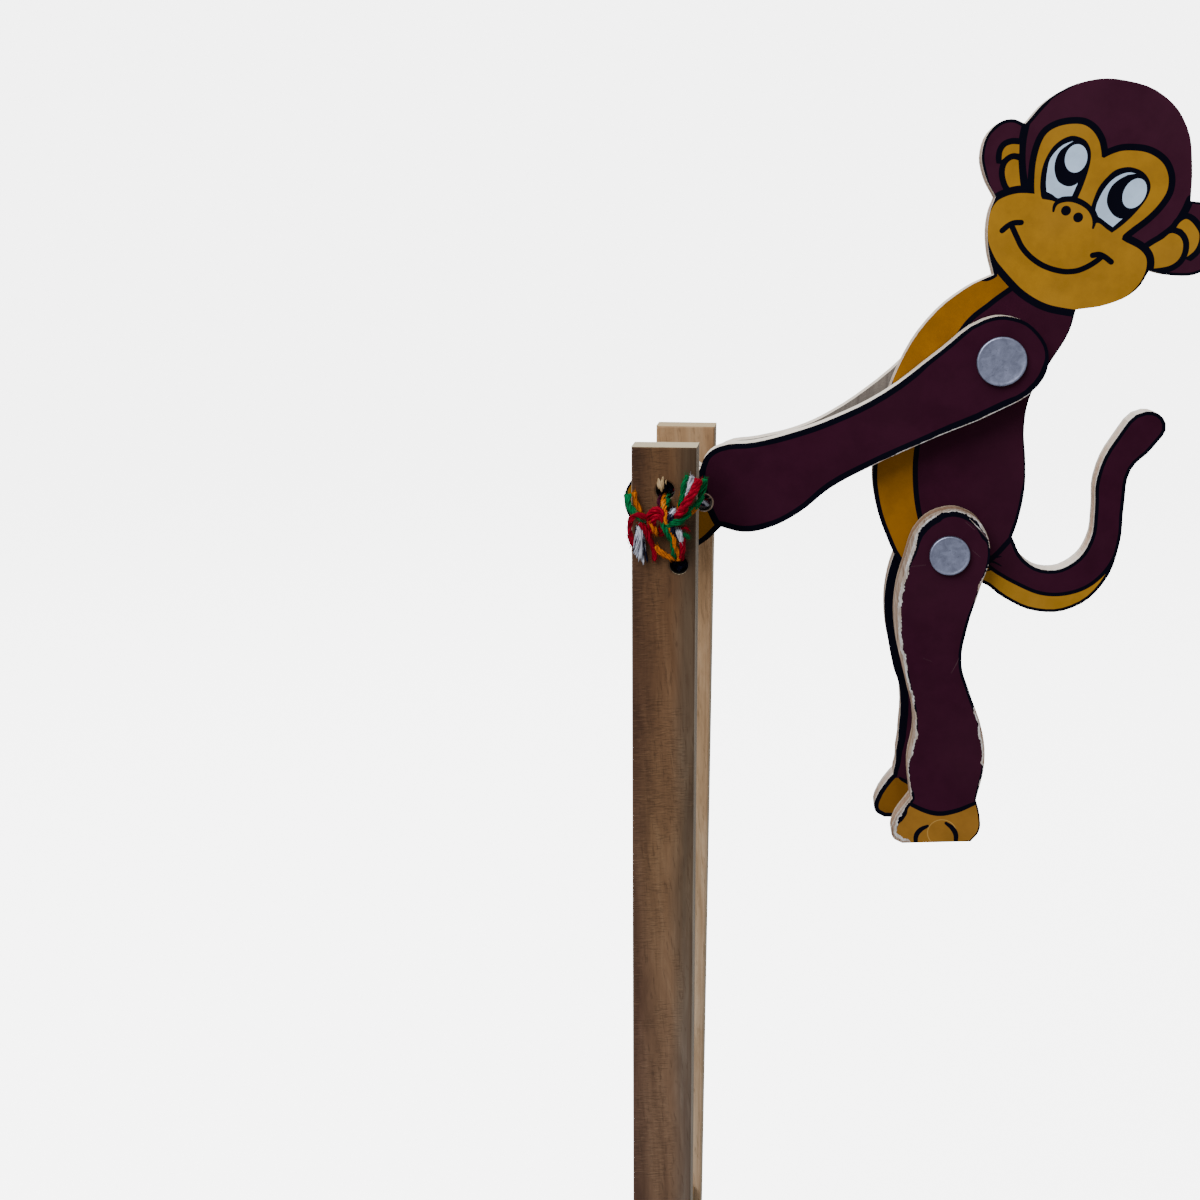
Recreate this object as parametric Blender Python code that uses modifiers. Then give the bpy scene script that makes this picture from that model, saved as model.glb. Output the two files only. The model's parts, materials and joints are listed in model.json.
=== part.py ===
"""Squeeze toy: a flat jointed monkey hung on a twisted string between two wooden sticks.

Metres, +Z up. X runs across the sticks, -Y is the front. The origin lies midway between the
sticks, level with their lower ends, where a hand squeezes them.
"""
import math

import bmesh
import bpy
from mathutils import Matrix, Vector

OBJECT_NAME = "jumping_monkey_on_stick"

# Sticks and crossbar
STICK_WIDTH = 0.018
STICK_THICKNESS = 0.010
STICK_LENGTH = 0.400
REAR_STICK_LENGTH = 0.3991
STICK_EDGE_RADIUS = 0.0006
STICK_CLEAR_GAP = 0.042
REAR_STICK_SKEW = math.radians(0.4)
CROSSBAR_WIDTH = 0.014
CROSSBAR_DEPTH = 0.016
CROSSBAR_HEIGHT = 0.125
CROSSBAR_EDGE = 0.0008

# Nails that pin the sticks to the crossbar
NAIL_DIAMETER = 0.0022
NAIL_LENGTH = 0.026
NAIL_POINT = 0.003
NAIL_HEAD_DIAMETER = 0.0055
NAIL_HEAD_FLAT = 0.0038
NAIL_HEAD_THICKNESS = 0.0009
NAIL_HEAD_RIM = 0.0004
NAIL_ROCKING_CLEARANCE = 0.0005

# String and its holes
STRING_DIAMETER = 0.0024
STRING_HOLE_DIAMETER = 0.005
STRING_DROP = 0.0225
STRING_SIDE = 0.0023
STICK_HOLE_SPACING = 0.0212
STICK_HOLE_TILT = math.radians(10.5)
HAND_HOLE_SPACING = 0.0164
STRING_GRIP_DEPTH = 0.0022
STRING_STAND_OFF = 0.0025
TAIL_DIAMETER = 0.0019
TAIL_STRAIGHT = 0.0023
KNOT_WIDTH = 0.0076
KNOT_DEPTH = 0.0056
KNOT_HEIGHT = 0.0104
KNOT_SIDE = -0.0016

# Plywood plates and glued prints
PLY_THICKNESS = 0.006
PRINT_THICKNESS = 0.00035
GLUE_LINE = 0.00015
PLATE_RUNNING_GAP = 0.0005

# Places of the pivots
ARM_REACH = 0.0988
REAR_ARM_FULLNESS = 0.0032
ARM_RISE = math.radians(26.5)
HIP_SET_BACK = 0.0112
HIP_DROP = 0.0545
LEG_TO_ANKLE = 0.074
REAR_LEG_SWING = math.radians(3.0)
REAR_LEG_FULLNESS = 0.0011

# Rivets
SHANK_DIAMETER = 0.005
SHOULDER_HEAD_DIAMETER = 0.0134
HIP_HEAD_DIAMETER = 0.0113
RIVET_HEAD_THICKNESS = 0.0012
RIVET_RIM_RADIUS = 0.0004
WASHER_DIAMETER = 0.011
WASHER_THICKNESS = 0.001
PEEN_DIAMETER = 0.0078
PEEN_THICKNESS = 0.0011

# Gaps and fineness
SEAT_GAP = 0.0003
MILLIMETRE = 0.001
MERGE_DISTANCE = 0.00001
TURNED_STEPS = 24
OUTLINE_STEPS = 4
PEEN_STEPS = 4
KNOT_SEGMENTS = 16
KNOT_RINGS = 10
CORNER = "corner"

# Levels and depths that follow from the sizes above
STRING_AXIS = Vector((STRING_SIDE, 0.0, STICK_LENGTH - STRING_DROP))
ARM_DIRECTION = Vector((math.cos(ARM_RISE), 0.0, math.sin(ARM_RISE)))
SHOULDER = STRING_AXIS + ARM_REACH * ARM_DIRECTION
HIP = SHOULDER + Vector((-HIP_SET_BACK, 0.0, -HIP_DROP))
PRINT_STEP = GLUE_LINE + PRINT_THICKNESS
BODY_FACE = PLY_THICKNESS / 2 + PRINT_STEP
LIMB_INNER = BODY_FACE + PLATE_RUNNING_GAP
LIMB_FACE = LIMB_INNER + PLY_THICKNESS + PRINT_STEP
REAR_LEG_FACE = LIMB_FACE + PRINT_STEP
STICK_INNER = STICK_CLEAR_GAP / 2
STICK_OUTER = STICK_INNER + STICK_THICKNESS
SHANK_HOLE_RADIUS = SHANK_DIAMETER / 2 + SEAT_GAP
FRONT_TURN = (math.pi / 2, 0.0, 0.0)
REAR_TURN = (-math.pi / 2, 0.0, 0.0)

# Outline points in millimetres, x to the right and z up; a third item marks a sharp corner.
# Head, chest and upper back are measured from the shoulder rivet.
HEAD_AND_BACK = (
    (-2.4, 23.0, CORNER), (-4.4, 30.5), (-4.5, 39.0),
    (-3.1, 43.6, CORNER), (-6.3, 49.5), (-7.3, 56.0), (-4.6, 61.8), (-0.3, 63.7),
    (3.6, 62.4, CORNER), (9.5, 68.8), (19.0, 73.0), (29.0, 72.8), (38.9, 68.7), (45.2, 60.8), (47.3, 51.0),
    (47.7, 42.0, CORNER), (53.0, 40.8), (57.0, 35.5), (56.6, 28.5), (52.0, 23.4), (45.0, 22.5),
    (38.5, 23.9, CORNER), (35.5, 18.8), (28.5, 15.0),
    (20.0, 13.5, CORNER), (18.6, 7.5), (14.0, -1.0), (9.7, -9.0), (8.2, -18.0), (9.2, -29.0),
)
# Lower back, tail and seat are measured from the hip rivet.
TAIL_AND_SEAT = (
    (20.6, 18.0), (19.2, 8.5),
    (18.0, 4.2, CORNER), (21.8, -2.4), (28.6, -5.4), (35.5, -2.9), (39.6, 3.5), (40.3, 12.0), (40.2, 21.5),
    (44.5, 32.5), (52.0, 40.3), (57.5, 37.0),
    (54.5, 30.2), (49.2, 24.0), (48.1, 14.0), (47.7, 2.5), (44.0, -9.0), (36.0, -16.3), (26.0, -17.5),
    (16.6, -13.7), (10.2, -9.4), (2.0, -8.6), (-6.0, -8.6), (-12.0, -5.2),
    (-17.5, 4.0), (-21.3, 16.0), (-21.9, 25.0),
)
BELLY = ((-31.0, -15.0), (-27.0, -2.0), (-19.5, 10.7), (-9.5, 19.5))
# The arm lies along its own x axis. The paw's tip is measured from the outer string hole, the wrist
# from the string axis and the upper arm from the shoulder rivet. Its top, from the wrist's notch to
# the rivet, is given in shares of the way from the string axis to the rivet, with its height and
# with the part of REAR_ARM_FULLNESS that the rear arm's differently sawn top adds there.
PAW_TIP = ((3.6, -10.4), (-2.2, -5.0), (-4.7, 2.8), (-4.0, 10.6), (1.4, 15.2))
PAW_TOP = ((1.5, 15.2), (7.2, 12.4))
WRIST_NOTCH = (0.112, 8.8, -0.7)
ARM_TOP = (
    (0.15, 11.9, -0.7), (0.197, 12.5, -0.45), (0.29, 9.3, -0.25), (0.405, 7.0, -0.3), (0.515, 5.8, 0.0),
    (0.675, 6.0, 0.7), (0.86, 9.7, 1.0),
)
UPPER_ARM = (
    (0.3, 12.3), (7.5, 9.5), (11.9, 2.5), (11.6, -4.8), (6.2, -10.4), (-7.0, -12.1), (-24.0, -11.4),
    (-44.0, -11.1),
)
WRIST_LOW = ((42.5, -11.8), (31.0, -14.5), (21.0, -14.6), (14.5, -12.6), (9.6, -8.6, CORNER), (2.8, -10.6))
# The thigh and knee are measured from the hip rivet, the shin, foot and calf from the ankle.
THIGH_FRONT = ((-8.6, 8.8), (-12.4, -1.5), (-14.6, -12.5), (-14.1, -23.5), (-11.2, -35.5))
SHIN = ((-7.7, 23.0), (-9.0, 11.0))
FOOT_AND_CALF = (
    (-7.8, 0.0, CORNER), (-12.6, -8.8), (-12.4, -12.6), (-9.5, -14.4, CORNER),
    (10.4, -12.9, CORNER), (12.7, -9.5), (12.6, -4.5), (11.3, 0.4, CORNER), (13.1, 12.0), (12.0, 21.5),
)
THIGH_BACK = (
    (7.5, -40.0), (5.0, -32.0), (6.1, -21.0), (9.1, -9.1), (11.2, 0.5), (8.6, 8.8), (4.0, 12.4), (-1.3, 13.0),
)
# Loose string ends: the angle at which each leaves the knot, and its tip from the knot's centre.
KNOT_TAILS = (
    ("string_tail_left", 150.0, (-10.6, 8.8)),
    ("string_tail_low", 215.0, (-8.6, -9.2)),
    ("string_tail_right", 35.0, (8.4, 13.6)),
)


def clear_scene():
    for obj in list(bpy.data.objects):
        bpy.data.objects.remove(obj, do_unlink=True)


def new_collection(name):
    collection = bpy.data.collections.new(name)
    bpy.context.scene.collection.children.link(collection)
    return collection


def new_material(name, color, roughness, metallic=0.0):
    material = bpy.data.materials.new(name)
    material.use_nodes = True
    shader = material.node_tree.nodes["Principled BSDF"]
    shader.inputs["Base Color"].default_value = (*color, 1.0)
    shader.inputs["Roughness"].default_value = roughness
    shader.inputs["Metallic"].default_value = metallic
    return material


def new_pivot(name, place):
    pivot = bpy.data.objects.new(name, None)
    pivot.location = place
    PARTS.objects.link(pivot)
    return pivot


def add_part(name, data, look, pivot, offset=(0.0, 0.0, 0.0), turn=(0.0, 0.0, 0.0)):
    """Link an object to its pivot, offset from it and turned about it."""
    part = bpy.data.objects.new(name, data)
    data.materials.append(look.copy())
    part.parent = pivot
    part.location = offset
    part.rotation_euler = turn
    PARTS.objects.link(part)
    return part


def points_from(place, points):
    """Outline points in millimetres, moved to their reference point, in metres."""
    return [(place[0] + p[0] * MILLIMETRE, place[1] + p[1] * MILLIMETRE, *p[2:]) for p in points]


def hole(centre, radius):
    x, z = centre
    return [(x + radius, z), (x, z + radius), (x - radius, z), (x, z - radius)]


def sawn_plate(name, outlines, thickness, edge_radius=0.0):
    """A flat outline with holes, filled and given its thickness."""
    curve = bpy.data.curves.new(name, "CURVE")
    curve.dimensions = "2D"
    curve.fill_mode = "BOTH"
    curve.extrude = thickness / 2 - edge_radius
    curve.bevel_depth = edge_radius
    curve.bevel_resolution = 1
    curve.offset = -edge_radius
    curve.resolution_u = OUTLINE_STEPS
    for points in outlines:
        spline = curve.splines.new("BEZIER")
        spline.bezier_points.add(len(points) - 1)
        spline.use_cyclic_u = True
        for knot, point in zip(spline.bezier_points, points):
            knot.co = (point[0], point[1], 0.0)
        for knot, point in zip(spline.bezier_points, points):
            handle = "VECTOR" if point[2:] else "AUTO"
            knot.handle_left_type = handle
            knot.handle_right_type = handle
    return curve


def turned(name, profile, closed=False):
    """A profile of (radius, height) points, running down its outer side, turned about Z."""
    mesh = bpy.data.meshes.new(name)
    edges = [(i, i + 1) for i in range(len(profile) - 1)]
    if closed:
        edges.append((len(profile) - 1, 0))
    mesh.from_pydata([(r, 0.0, z) for r, z in profile], edges, [])
    return mesh


def add_turned(name, profile, look, pivot, offset, turn, closed=False):
    part = add_part(name, turned(name, profile, closed), look, pivot, offset, turn)
    screw = part.modifiers.new("turn", "SCREW")
    screw.steps = TURNED_STEPS
    screw.render_steps = TURNED_STEPS
    screw.use_merge_vertices = True
    screw.merge_threshold = MERGE_DISTANCE
    return part


def smooth_path(controls, steps=4):
    """Points along a Catmull-Rom curve through the control points."""
    ends = [2 * controls[0] - controls[1], *controls, 2 * controls[-1] - controls[-2]]
    path = []
    for a, b, c, d in zip(ends, ends[1:], ends[2:], ends[3:]):
        for i in range(steps):
            t = i / steps
            path.append(b + 0.5 * t * (c - a + t * (2 * a - 5 * b + 4 * c - d + t * (3 * b - a - 3 * c + d))))
    return [*path, controls[-1]]


def string_tube(name, path, diameter):
    """Round string laid along a list of points."""
    curve = bpy.data.curves.new(name, "CURVE")
    curve.dimensions = "3D"
    curve.bevel_depth = diameter / 2
    curve.bevel_resolution = 2
    curve.use_fill_caps = True
    spline = curve.splines.new("POLY")
    spline.points.add(len(path) - 1)
    for knot, point in zip(spline.points, path):
        knot.co = (*point, 1.0)
    return curve


def add_string(name, path, pivot, diameter=STRING_DIAMETER):
    from_pivot = [point - pivot.location for point in path]
    return add_part(name, string_tube(name, from_pivot, diameter), LOOKS["string"], pivot)


def stick_hole(side, depth, skew):
    """Centre of the upper (+1) or lower (-1) string hole of a stick, at a depth along Y."""
    reach = side * STICK_HOLE_SPACING / 2
    x = STRING_SIDE - reach * math.sin(STICK_HOLE_TILT)
    z = STICK_LENGTH - STRING_DROP + reach * math.cos(STICK_HOLE_TILT)
    rise = z - CROSSBAR_HEIGHT
    return Vector((
        x * math.cos(skew) + rise * math.sin(skew), depth,
        CROSSBAR_HEIGHT + rise * math.cos(skew) - x * math.sin(skew),
    ))


def hand_hole(side, depth):
    """Centre of the inner (+1) or outer (-1) string hole of the hands, at a depth along Y."""
    place = STRING_AXIS + side * HAND_HOLE_SPACING / 2 * ARM_DIRECTION
    return Vector((place.x, depth, place.z))


def make_sticks():
    nail_hole = NAIL_DIAMETER / 2 + NAIL_ROCKING_CLEARANCE
    half = STICK_WIDTH / 2
    foot = -CROSSBAR_HEIGHT
    holes = [hole((0.0, 0.0), nail_hole)]
    for side in (1, -1):
        place = stick_hole(side, 0.0, 0.0)
        holes.append(hole((place.x, place.z - CROSSBAR_HEIGHT), STRING_HOLE_DIAMETER / 2))
    middle = STICK_THICKNESS / 2
    for name, length, pivot, depth, skew in (
        ("front_stick", STICK_LENGTH, FRONT_HINGE, -middle, 0.0),
        ("rear_stick", REAR_STICK_LENGTH, REAR_HINGE, middle, REAR_STICK_SKEW),
    ):
        top = length - CROSSBAR_HEIGHT
        border = [(-half, foot, CORNER), (half, foot, CORNER), (half, top, CORNER), (-half, top, CORNER)]
        plate = sawn_plate(name, [border, *holes], STICK_THICKNESS, STICK_EDGE_RADIUS)
        add_part(name, plate, LOOKS[name], pivot, (0.0, depth, 0.0), (math.pi / 2, skew, 0.0))


def make_crossbar():
    length = STICK_CLEAR_GAP - 2 * SEAT_GAP
    mesh = bpy.data.meshes.new("crossbar")
    bar = add_part("crossbar", mesh, LOOKS["crossbar"], CROSSBAR_CENTRE)
    block_from_cube(mesh, (CROSSBAR_WIDTH, length, CROSSBAR_DEPTH))
    bevel = bar.modifiers.new("soft edges", "BEVEL")
    bevel.width = CROSSBAR_EDGE
    bevel.segments = 2
    bored = NAIL_LENGTH - STICK_THICKNESS - SEAT_GAP
    for side in (-1, 1):
        drill = bpy.data.objects.new("nail_drill", drill_mesh(NAIL_DIAMETER / 2 + SEAT_GAP, 2 * bored))
        drill.location = CROSSBAR_CENTRE.location + Vector((0.0, side * STICK_INNER, 0.0))
        drill.rotation_euler = FRONT_TURN
        drill.hide_render = True
        drill.display_type = "WIRE"
        CUTTERS.objects.link(drill)
        cut = bar.modifiers.new("nail hole", "BOOLEAN")
        cut.operation = "DIFFERENCE"
        cut.object = drill


def block_from_cube(mesh, size):
    shape = bmesh.new()
    bmesh.ops.create_cube(shape, size=1.0, matrix=Matrix.Diagonal((*size, 1.0)))
    shape.to_mesh(mesh)
    shape.free()


def drill_mesh(radius, length):
    mesh = bpy.data.meshes.new("nail_drill")
    shape = bmesh.new()
    bmesh.ops.create_cone(
        shape, cap_ends=True, segments=TURNED_STEPS, radius1=radius, radius2=radius, depth=length)
    shape.to_mesh(mesh)
    shape.free()
    return mesh


def make_nails():
    """Round nails driven through the sticks into the crossbar; heights run out from the head."""
    under = SEAT_GAP
    tip = -NAIL_LENGTH
    profile = [
        (0.0, under + NAIL_HEAD_THICKNESS),
        (NAIL_HEAD_FLAT / 2, under + NAIL_HEAD_THICKNESS),
        (NAIL_HEAD_DIAMETER / 2, under + NAIL_HEAD_RIM),
        (NAIL_HEAD_DIAMETER / 2, under),
        (NAIL_DIAMETER / 2, under),
        (NAIL_DIAMETER / 2, tip + NAIL_POINT),
        (0.0, tip),
    ]
    for name, side, turn in (("front_pivot_nail", -1, FRONT_TURN), ("rear_pivot_nail", 1, REAR_TURN)):
        add_turned(name, profile, LOOKS["nail"], CROSSBAR_CENTRE, (0.0, side * STICK_OUTER, 0.0), turn)


def make_trunk():
    hip = (-HIP_SET_BACK, -HIP_DROP)
    border = [
        *points_from((0.0, 0.0), HEAD_AND_BACK),
        *points_from(hip, TAIL_AND_SEAT),
        *points_from((0.0, 0.0), BELLY),
    ]
    outlines = [border, hole((0.0, 0.0), SHANK_HOLE_RADIUS), hole(hip, SHANK_HOLE_RADIUS)]
    printed = PLY_THICKNESS / 2 + GLUE_LINE + PRINT_THICKNESS / 2
    for name, thickness, depth, look in (
        ("body_plate", PLY_THICKNESS, 0.0, "plywood"),
        ("body_front_print", PRINT_THICKNESS, -printed, "print"),
        ("body_back_print", PRINT_THICKNESS, printed, "print"),
    ):
        plate = sawn_plate(name, outlines, thickness)
        add_part(name, plate, LOOKS[look], SHOULDER_PIVOT, (0.0, depth, 0.0), FRONT_TURN)


def arm_outlines(fullness):
    """The arm with its string holes and rivet hole; fullness changes its top from wrist to rivet."""
    outer_hole = (-HAND_HOLE_SPACING / 2, 0.0)
    inner_hole = (HAND_HOLE_SPACING / 2, 0.0)
    notch, *top = [
        (share * ARM_REACH, height * MILLIMETRE + part * fullness)
        for share, height, part in (WRIST_NOTCH, *ARM_TOP)
    ]
    border = [
        *points_from(outer_hole, PAW_TIP),
        *points_from((0.0, 0.0), PAW_TOP),
        (*notch, CORNER),
        *top,
        *points_from((ARM_REACH, 0.0), UPPER_ARM),
        *points_from((0.0, 0.0), WRIST_LOW),
    ]
    return [
        border,
        hole(outer_hole, STRING_HOLE_DIAMETER / 2),
        hole(inner_hole, STRING_HOLE_DIAMETER / 2),
        hole((ARM_REACH, 0.0), SHANK_HOLE_RADIUS),
    ]


def make_arms():
    middle = LIMB_INNER + PLY_THICKNESS / 2
    printed = LIMB_FACE - PRINT_THICKNESS / 2
    turn = (math.pi / 2, -ARM_RISE, 0.0)
    for name, thickness, depth, fullness, look in (
        ("front_arm", PLY_THICKNESS, -middle, 0.0, "plywood"),
        ("front_arm_print", PRINT_THICKNESS, -printed, 0.0, "print"),
        ("rear_arm", PLY_THICKNESS, middle, REAR_ARM_FULLNESS, "plywood"),
        ("rear_arm_print", PRINT_THICKNESS, printed, REAR_ARM_FULLNESS, "print"),
    ):
        plate = sawn_plate(name, arm_outlines(fullness), thickness)
        add_part(name, plate, LOOKS[look], STRING_PIVOT, (0.0, depth, 0.0), turn)


def leg_outlines(fullness):
    """The leg with its rivet hole; fullness moves the front of its thigh and shin out."""
    ankle = (0.0, -LEG_TO_ANKLE)
    front = [*points_from((0.0, 0.0), THIGH_FRONT), *points_from(ankle, SHIN)]
    border = [
        *[(x - fullness, z) for x, z in front],
        *points_from(ankle, FOOT_AND_CALF),
        *points_from((0.0, 0.0), THIGH_BACK),
    ]
    return [border, hole((0.0, 0.0), SHANK_HOLE_RADIUS)]


def make_legs():
    middle = LIMB_INNER + PLY_THICKNESS / 2
    skin = PRINT_THICKNESS / 2
    front = leg_outlines(0.0)
    rear = leg_outlines(REAR_LEG_FULLNESS)
    for name, thickness, depth, outlines, swing, look in (
        ("front_leg", PLY_THICKNESS, -middle, front, 0.0, "plywood"),
        ("front_leg_print", PRINT_THICKNESS, skin - LIMB_FACE, front, 0.0, "print"),
        ("rear_leg", PLY_THICKNESS, middle + PRINT_STEP, rear, REAR_LEG_SWING, "plywood"),
        ("rear_leg_front_print", PRINT_THICKNESS, LIMB_INNER + skin, rear, REAR_LEG_SWING, "print"),
        ("rear_leg_back_print", PRINT_THICKNESS, REAR_LEG_FACE - skin, rear, REAR_LEG_SWING, "print"),
    ):
        plate = sawn_plate(name, outlines, thickness)
        add_part(name, plate, LOOKS[look], HIP_PIVOT, (0.0, depth, 0.0), (math.pi / 2, swing, 0.0))


def make_rivet(name, washer_name, pivot, offset, head_diameter, back_face):
    """A flat-headed rivet from front to back, and the washer under its peened tail."""
    head = head_diameter / 2
    halfway = RIVET_RIM_RADIUS * (1 - math.cos(math.pi / 4))
    under_head = LIMB_FACE + SEAT_GAP
    top = under_head + RIVET_HEAD_THICKNESS
    washer_top = -back_face - SEAT_GAP
    washer_foot = washer_top - WASHER_THICKNESS
    peen_top = washer_foot - SEAT_GAP
    rivet = [
        (0.0, top),
        (head - RIVET_RIM_RADIUS, top),
        (head - halfway, top - halfway),
        (head, top - RIVET_RIM_RADIUS),
        (head, under_head),
        (SHANK_DIAMETER / 2, under_head),
        (SHANK_DIAMETER / 2, peen_top),
    ]
    for i in range(PEEN_STEPS):
        turn = math.pi / 2 * i / PEEN_STEPS
        rivet.append((PEEN_DIAMETER / 2 * math.cos(turn), peen_top - PEEN_THICKNESS * math.sin(turn)))
    rivet.append((0.0, peen_top - PEEN_THICKNESS))
    washer = [
        (WASHER_DIAMETER / 2, washer_top),
        (WASHER_DIAMETER / 2, washer_foot),
        (SHANK_HOLE_RADIUS, washer_foot),
        (SHANK_HOLE_RADIUS, washer_top),
    ]
    add_turned(name, rivet, LOOKS["aluminium"], pivot, offset, FRONT_TURN)
    add_turned(washer_name, washer, LOOKS["aluminium"], pivot, offset, FRONT_TURN, closed=True)


def make_rivets():
    reach = SHOULDER - STRING_AXIS
    make_rivet("shoulder_rivet", "shoulder_washer", STRING_PIVOT, reach, SHOULDER_HEAD_DIAMETER, LIMB_FACE)
    drop = HIP - SHOULDER
    make_rivet("hip_rivet", "hip_washer", SHOULDER_PIVOT, drop, HIP_HEAD_DIAMETER, REAR_LEG_FACE)


def out_of_hole(side, face, skew):
    """String points from inside a stick's hole, out past its face, bending towards the axis."""
    sign = math.copysign(1.0, face)
    start = STICK_INNER + STRING_GRIP_DEPTH + SEAT_GAP
    inside = stick_hole(side, sign * start, skew)
    mouth = stick_hole(side, face, skew)
    towards = Vector((0.0, 0.0, -side))
    outside = mouth + Vector((0.0, sign * STRING_STAND_OFF, 0.0)) + towards * STRING_DIAMETER / 2
    return [inside, (inside + mouth) / 2, mouth, outside], towards


def make_knot(centre):
    """The knot on the front stick, and the loose ends that come out of it."""
    mesh = bpy.data.meshes.new("string_knot")
    shape = bmesh.new()
    size = Matrix.Diagonal((KNOT_WIDTH / 2, KNOT_DEPTH / 2, KNOT_HEIGHT / 2, 1.0))
    bmesh.ops.create_uvsphere(
        shape, u_segments=KNOT_SEGMENTS, v_segments=KNOT_RINGS, radius=1.0, matrix=size)
    shape.to_mesh(mesh)
    shape.free()
    mesh.shade_smooth()
    add_part("string_knot", mesh, LOOKS["string"], FRONT_HINGE, centre - FRONT_HINGE.location)
    for name, angle, tip in KNOT_TAILS:
        x = math.cos(math.radians(angle))
        z = math.sin(math.radians(angle))
        skin = centre + Vector((KNOT_WIDTH / 2 * x, 0.0, KNOT_HEIGHT / 2 * z))
        normal = Vector((x / KNOT_WIDTH, 0.0, z / KNOT_HEIGHT)).normalized()
        start = skin + normal * SEAT_GAP
        end = centre + Vector((tip[0], 0.0, tip[1])) * MILLIMETRE
        elbow = start + normal * TAIL_STRAIGHT
        path = smooth_path([start, elbow, (elbow + end) / 2, end])
        add_string(name, path, FRONT_HINGE, TAIL_DIAMETER)


def make_string():
    """One closed loop: knot, front stick, hands, rear stick and back again, as held pieces."""
    front = -STICK_OUTER
    centre = STRING_AXIS + Vector((KNOT_SIDE, front - SEAT_GAP - KNOT_DEPTH / 2, 0.0))
    make_knot(centre)
    loop = []
    for side, word in ((1, "upper"), (-1, "lower")):
        strand, towards = out_of_hole(side, front, 0.0)
        end = centre - towards * (KNOT_HEIGHT / 2 + SEAT_GAP)
        path = smooth_path([*strand, end - towards * STRING_DIAMETER / 2, end])
        add_string(f"string_front_{word}", path, FRONT_HINGE)
        back, _ = out_of_hole(side, STICK_OUTER, REAR_STICK_SKEW)
        loop = [*back, *loop] if side > 0 else [*loop, *reversed(back)]
        hand_end = LIMB_FACE - STRING_GRIP_DEPTH
        stick_end = STICK_INNER + STRING_GRIP_DEPTH
        for place, sign, skew in (("front", -1, 0.0), ("rear", 1, REAR_STICK_SKEW)):
            a = hand_hole(side, sign * hand_end)
            b = stick_hole(side, sign * stick_end, skew)
            add_string(f"string_run_{place}_{word}", twisted_run(a, b), STRING_PIVOT)
        held = hand_end - SEAT_GAP
        path = [hand_hole(side, -held), hand_hole(side, 0.0), hand_hole(side, held)]
        add_string(f"string_hand_{word}", path, STRING_PIVOT)
    add_string("string_rear_loop", smooth_path(loop), REAR_HINGE)


def twisted_run(a, b, steps=10):
    """String from a hand's hole to a stick's hole, leaving both along Y."""
    path = []
    for i in range(steps + 1):
        t = i / steps
        ease = t * t * (3 - 2 * t)
        point = a.lerp(b, ease)
        point.y = a.y + (b.y - a.y) * t
        path.append(point)
    return path


clear_scene()
PARTS = new_collection(OBJECT_NAME)
CUTTERS = new_collection("cutters")
LOOKS = {
    "front_stick": new_material("dark_lath", (0.095, 0.050, 0.026), 0.75),
    "rear_stick": new_material("tan_lath", (0.37, 0.23, 0.12), 0.75),
    "crossbar": new_material("crossbar_wood", (0.30, 0.18, 0.09), 0.75),
    "plywood": new_material("plywood", (0.56, 0.42, 0.29), 0.8),
    "print": new_material("printed_paper", (0.036, 0.008, 0.017), 0.55),
    "aluminium": new_material("aluminium", (0.55, 0.54, 0.58), 0.45, 1.0),
    "nail": new_material("steel", (0.45, 0.44, 0.42), 0.4, 1.0),
    "string": new_material("yarn", (0.43, 0.01, 0.02), 0.9),
}
CROSSBAR_CENTRE = new_pivot("crossbar_centre", (0.0, 0.0, CROSSBAR_HEIGHT))
FRONT_HINGE = new_pivot("front_hinge", (0.0, -STICK_INNER, CROSSBAR_HEIGHT))
REAR_HINGE = new_pivot("rear_hinge", (0.0, STICK_INNER, CROSSBAR_HEIGHT))
STRING_PIVOT = new_pivot("string_axis", STRING_AXIS)
SHOULDER_PIVOT = new_pivot("shoulder_axis", SHOULDER)
HIP_PIVOT = new_pivot("hip_axis", HIP)
make_sticks()
make_crossbar()
make_nails()
make_trunk()
make_arms()
make_legs()
make_rivets()
make_string()
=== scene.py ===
"""Looks of a squeeze toy: a printed plywood monkey on a yarn loop between two wooden sticks."""
import json
import math
import random

import bmesh
import bpy
import numpy as np
from mathutils import Matrix, Vector, noise
from mathutils.geometry import delaunay_2d_cdt


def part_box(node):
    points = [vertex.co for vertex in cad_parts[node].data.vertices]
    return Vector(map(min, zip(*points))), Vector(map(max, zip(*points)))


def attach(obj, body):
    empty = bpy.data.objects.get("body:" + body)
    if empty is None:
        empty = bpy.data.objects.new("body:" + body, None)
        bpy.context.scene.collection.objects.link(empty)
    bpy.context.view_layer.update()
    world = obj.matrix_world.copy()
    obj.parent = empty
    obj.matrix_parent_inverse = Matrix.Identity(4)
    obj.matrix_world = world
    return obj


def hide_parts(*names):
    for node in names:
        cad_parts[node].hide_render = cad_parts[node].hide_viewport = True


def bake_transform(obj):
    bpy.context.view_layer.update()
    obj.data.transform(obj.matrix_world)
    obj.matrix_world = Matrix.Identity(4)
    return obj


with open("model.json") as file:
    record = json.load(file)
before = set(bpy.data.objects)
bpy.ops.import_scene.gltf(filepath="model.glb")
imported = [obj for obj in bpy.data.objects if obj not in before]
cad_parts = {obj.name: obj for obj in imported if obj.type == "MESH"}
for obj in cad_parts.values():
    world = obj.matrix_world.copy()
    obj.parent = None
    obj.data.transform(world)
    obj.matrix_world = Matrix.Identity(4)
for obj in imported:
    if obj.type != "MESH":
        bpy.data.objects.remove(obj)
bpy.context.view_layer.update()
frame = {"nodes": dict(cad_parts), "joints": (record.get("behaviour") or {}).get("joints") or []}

MM = 0.001
PIVOTS = {joint["name"]: Vector(joint["pos_m"]) for joint in frame["joints"]}
STRING_AXIS = PIVOTS["arm_swing"]
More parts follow.
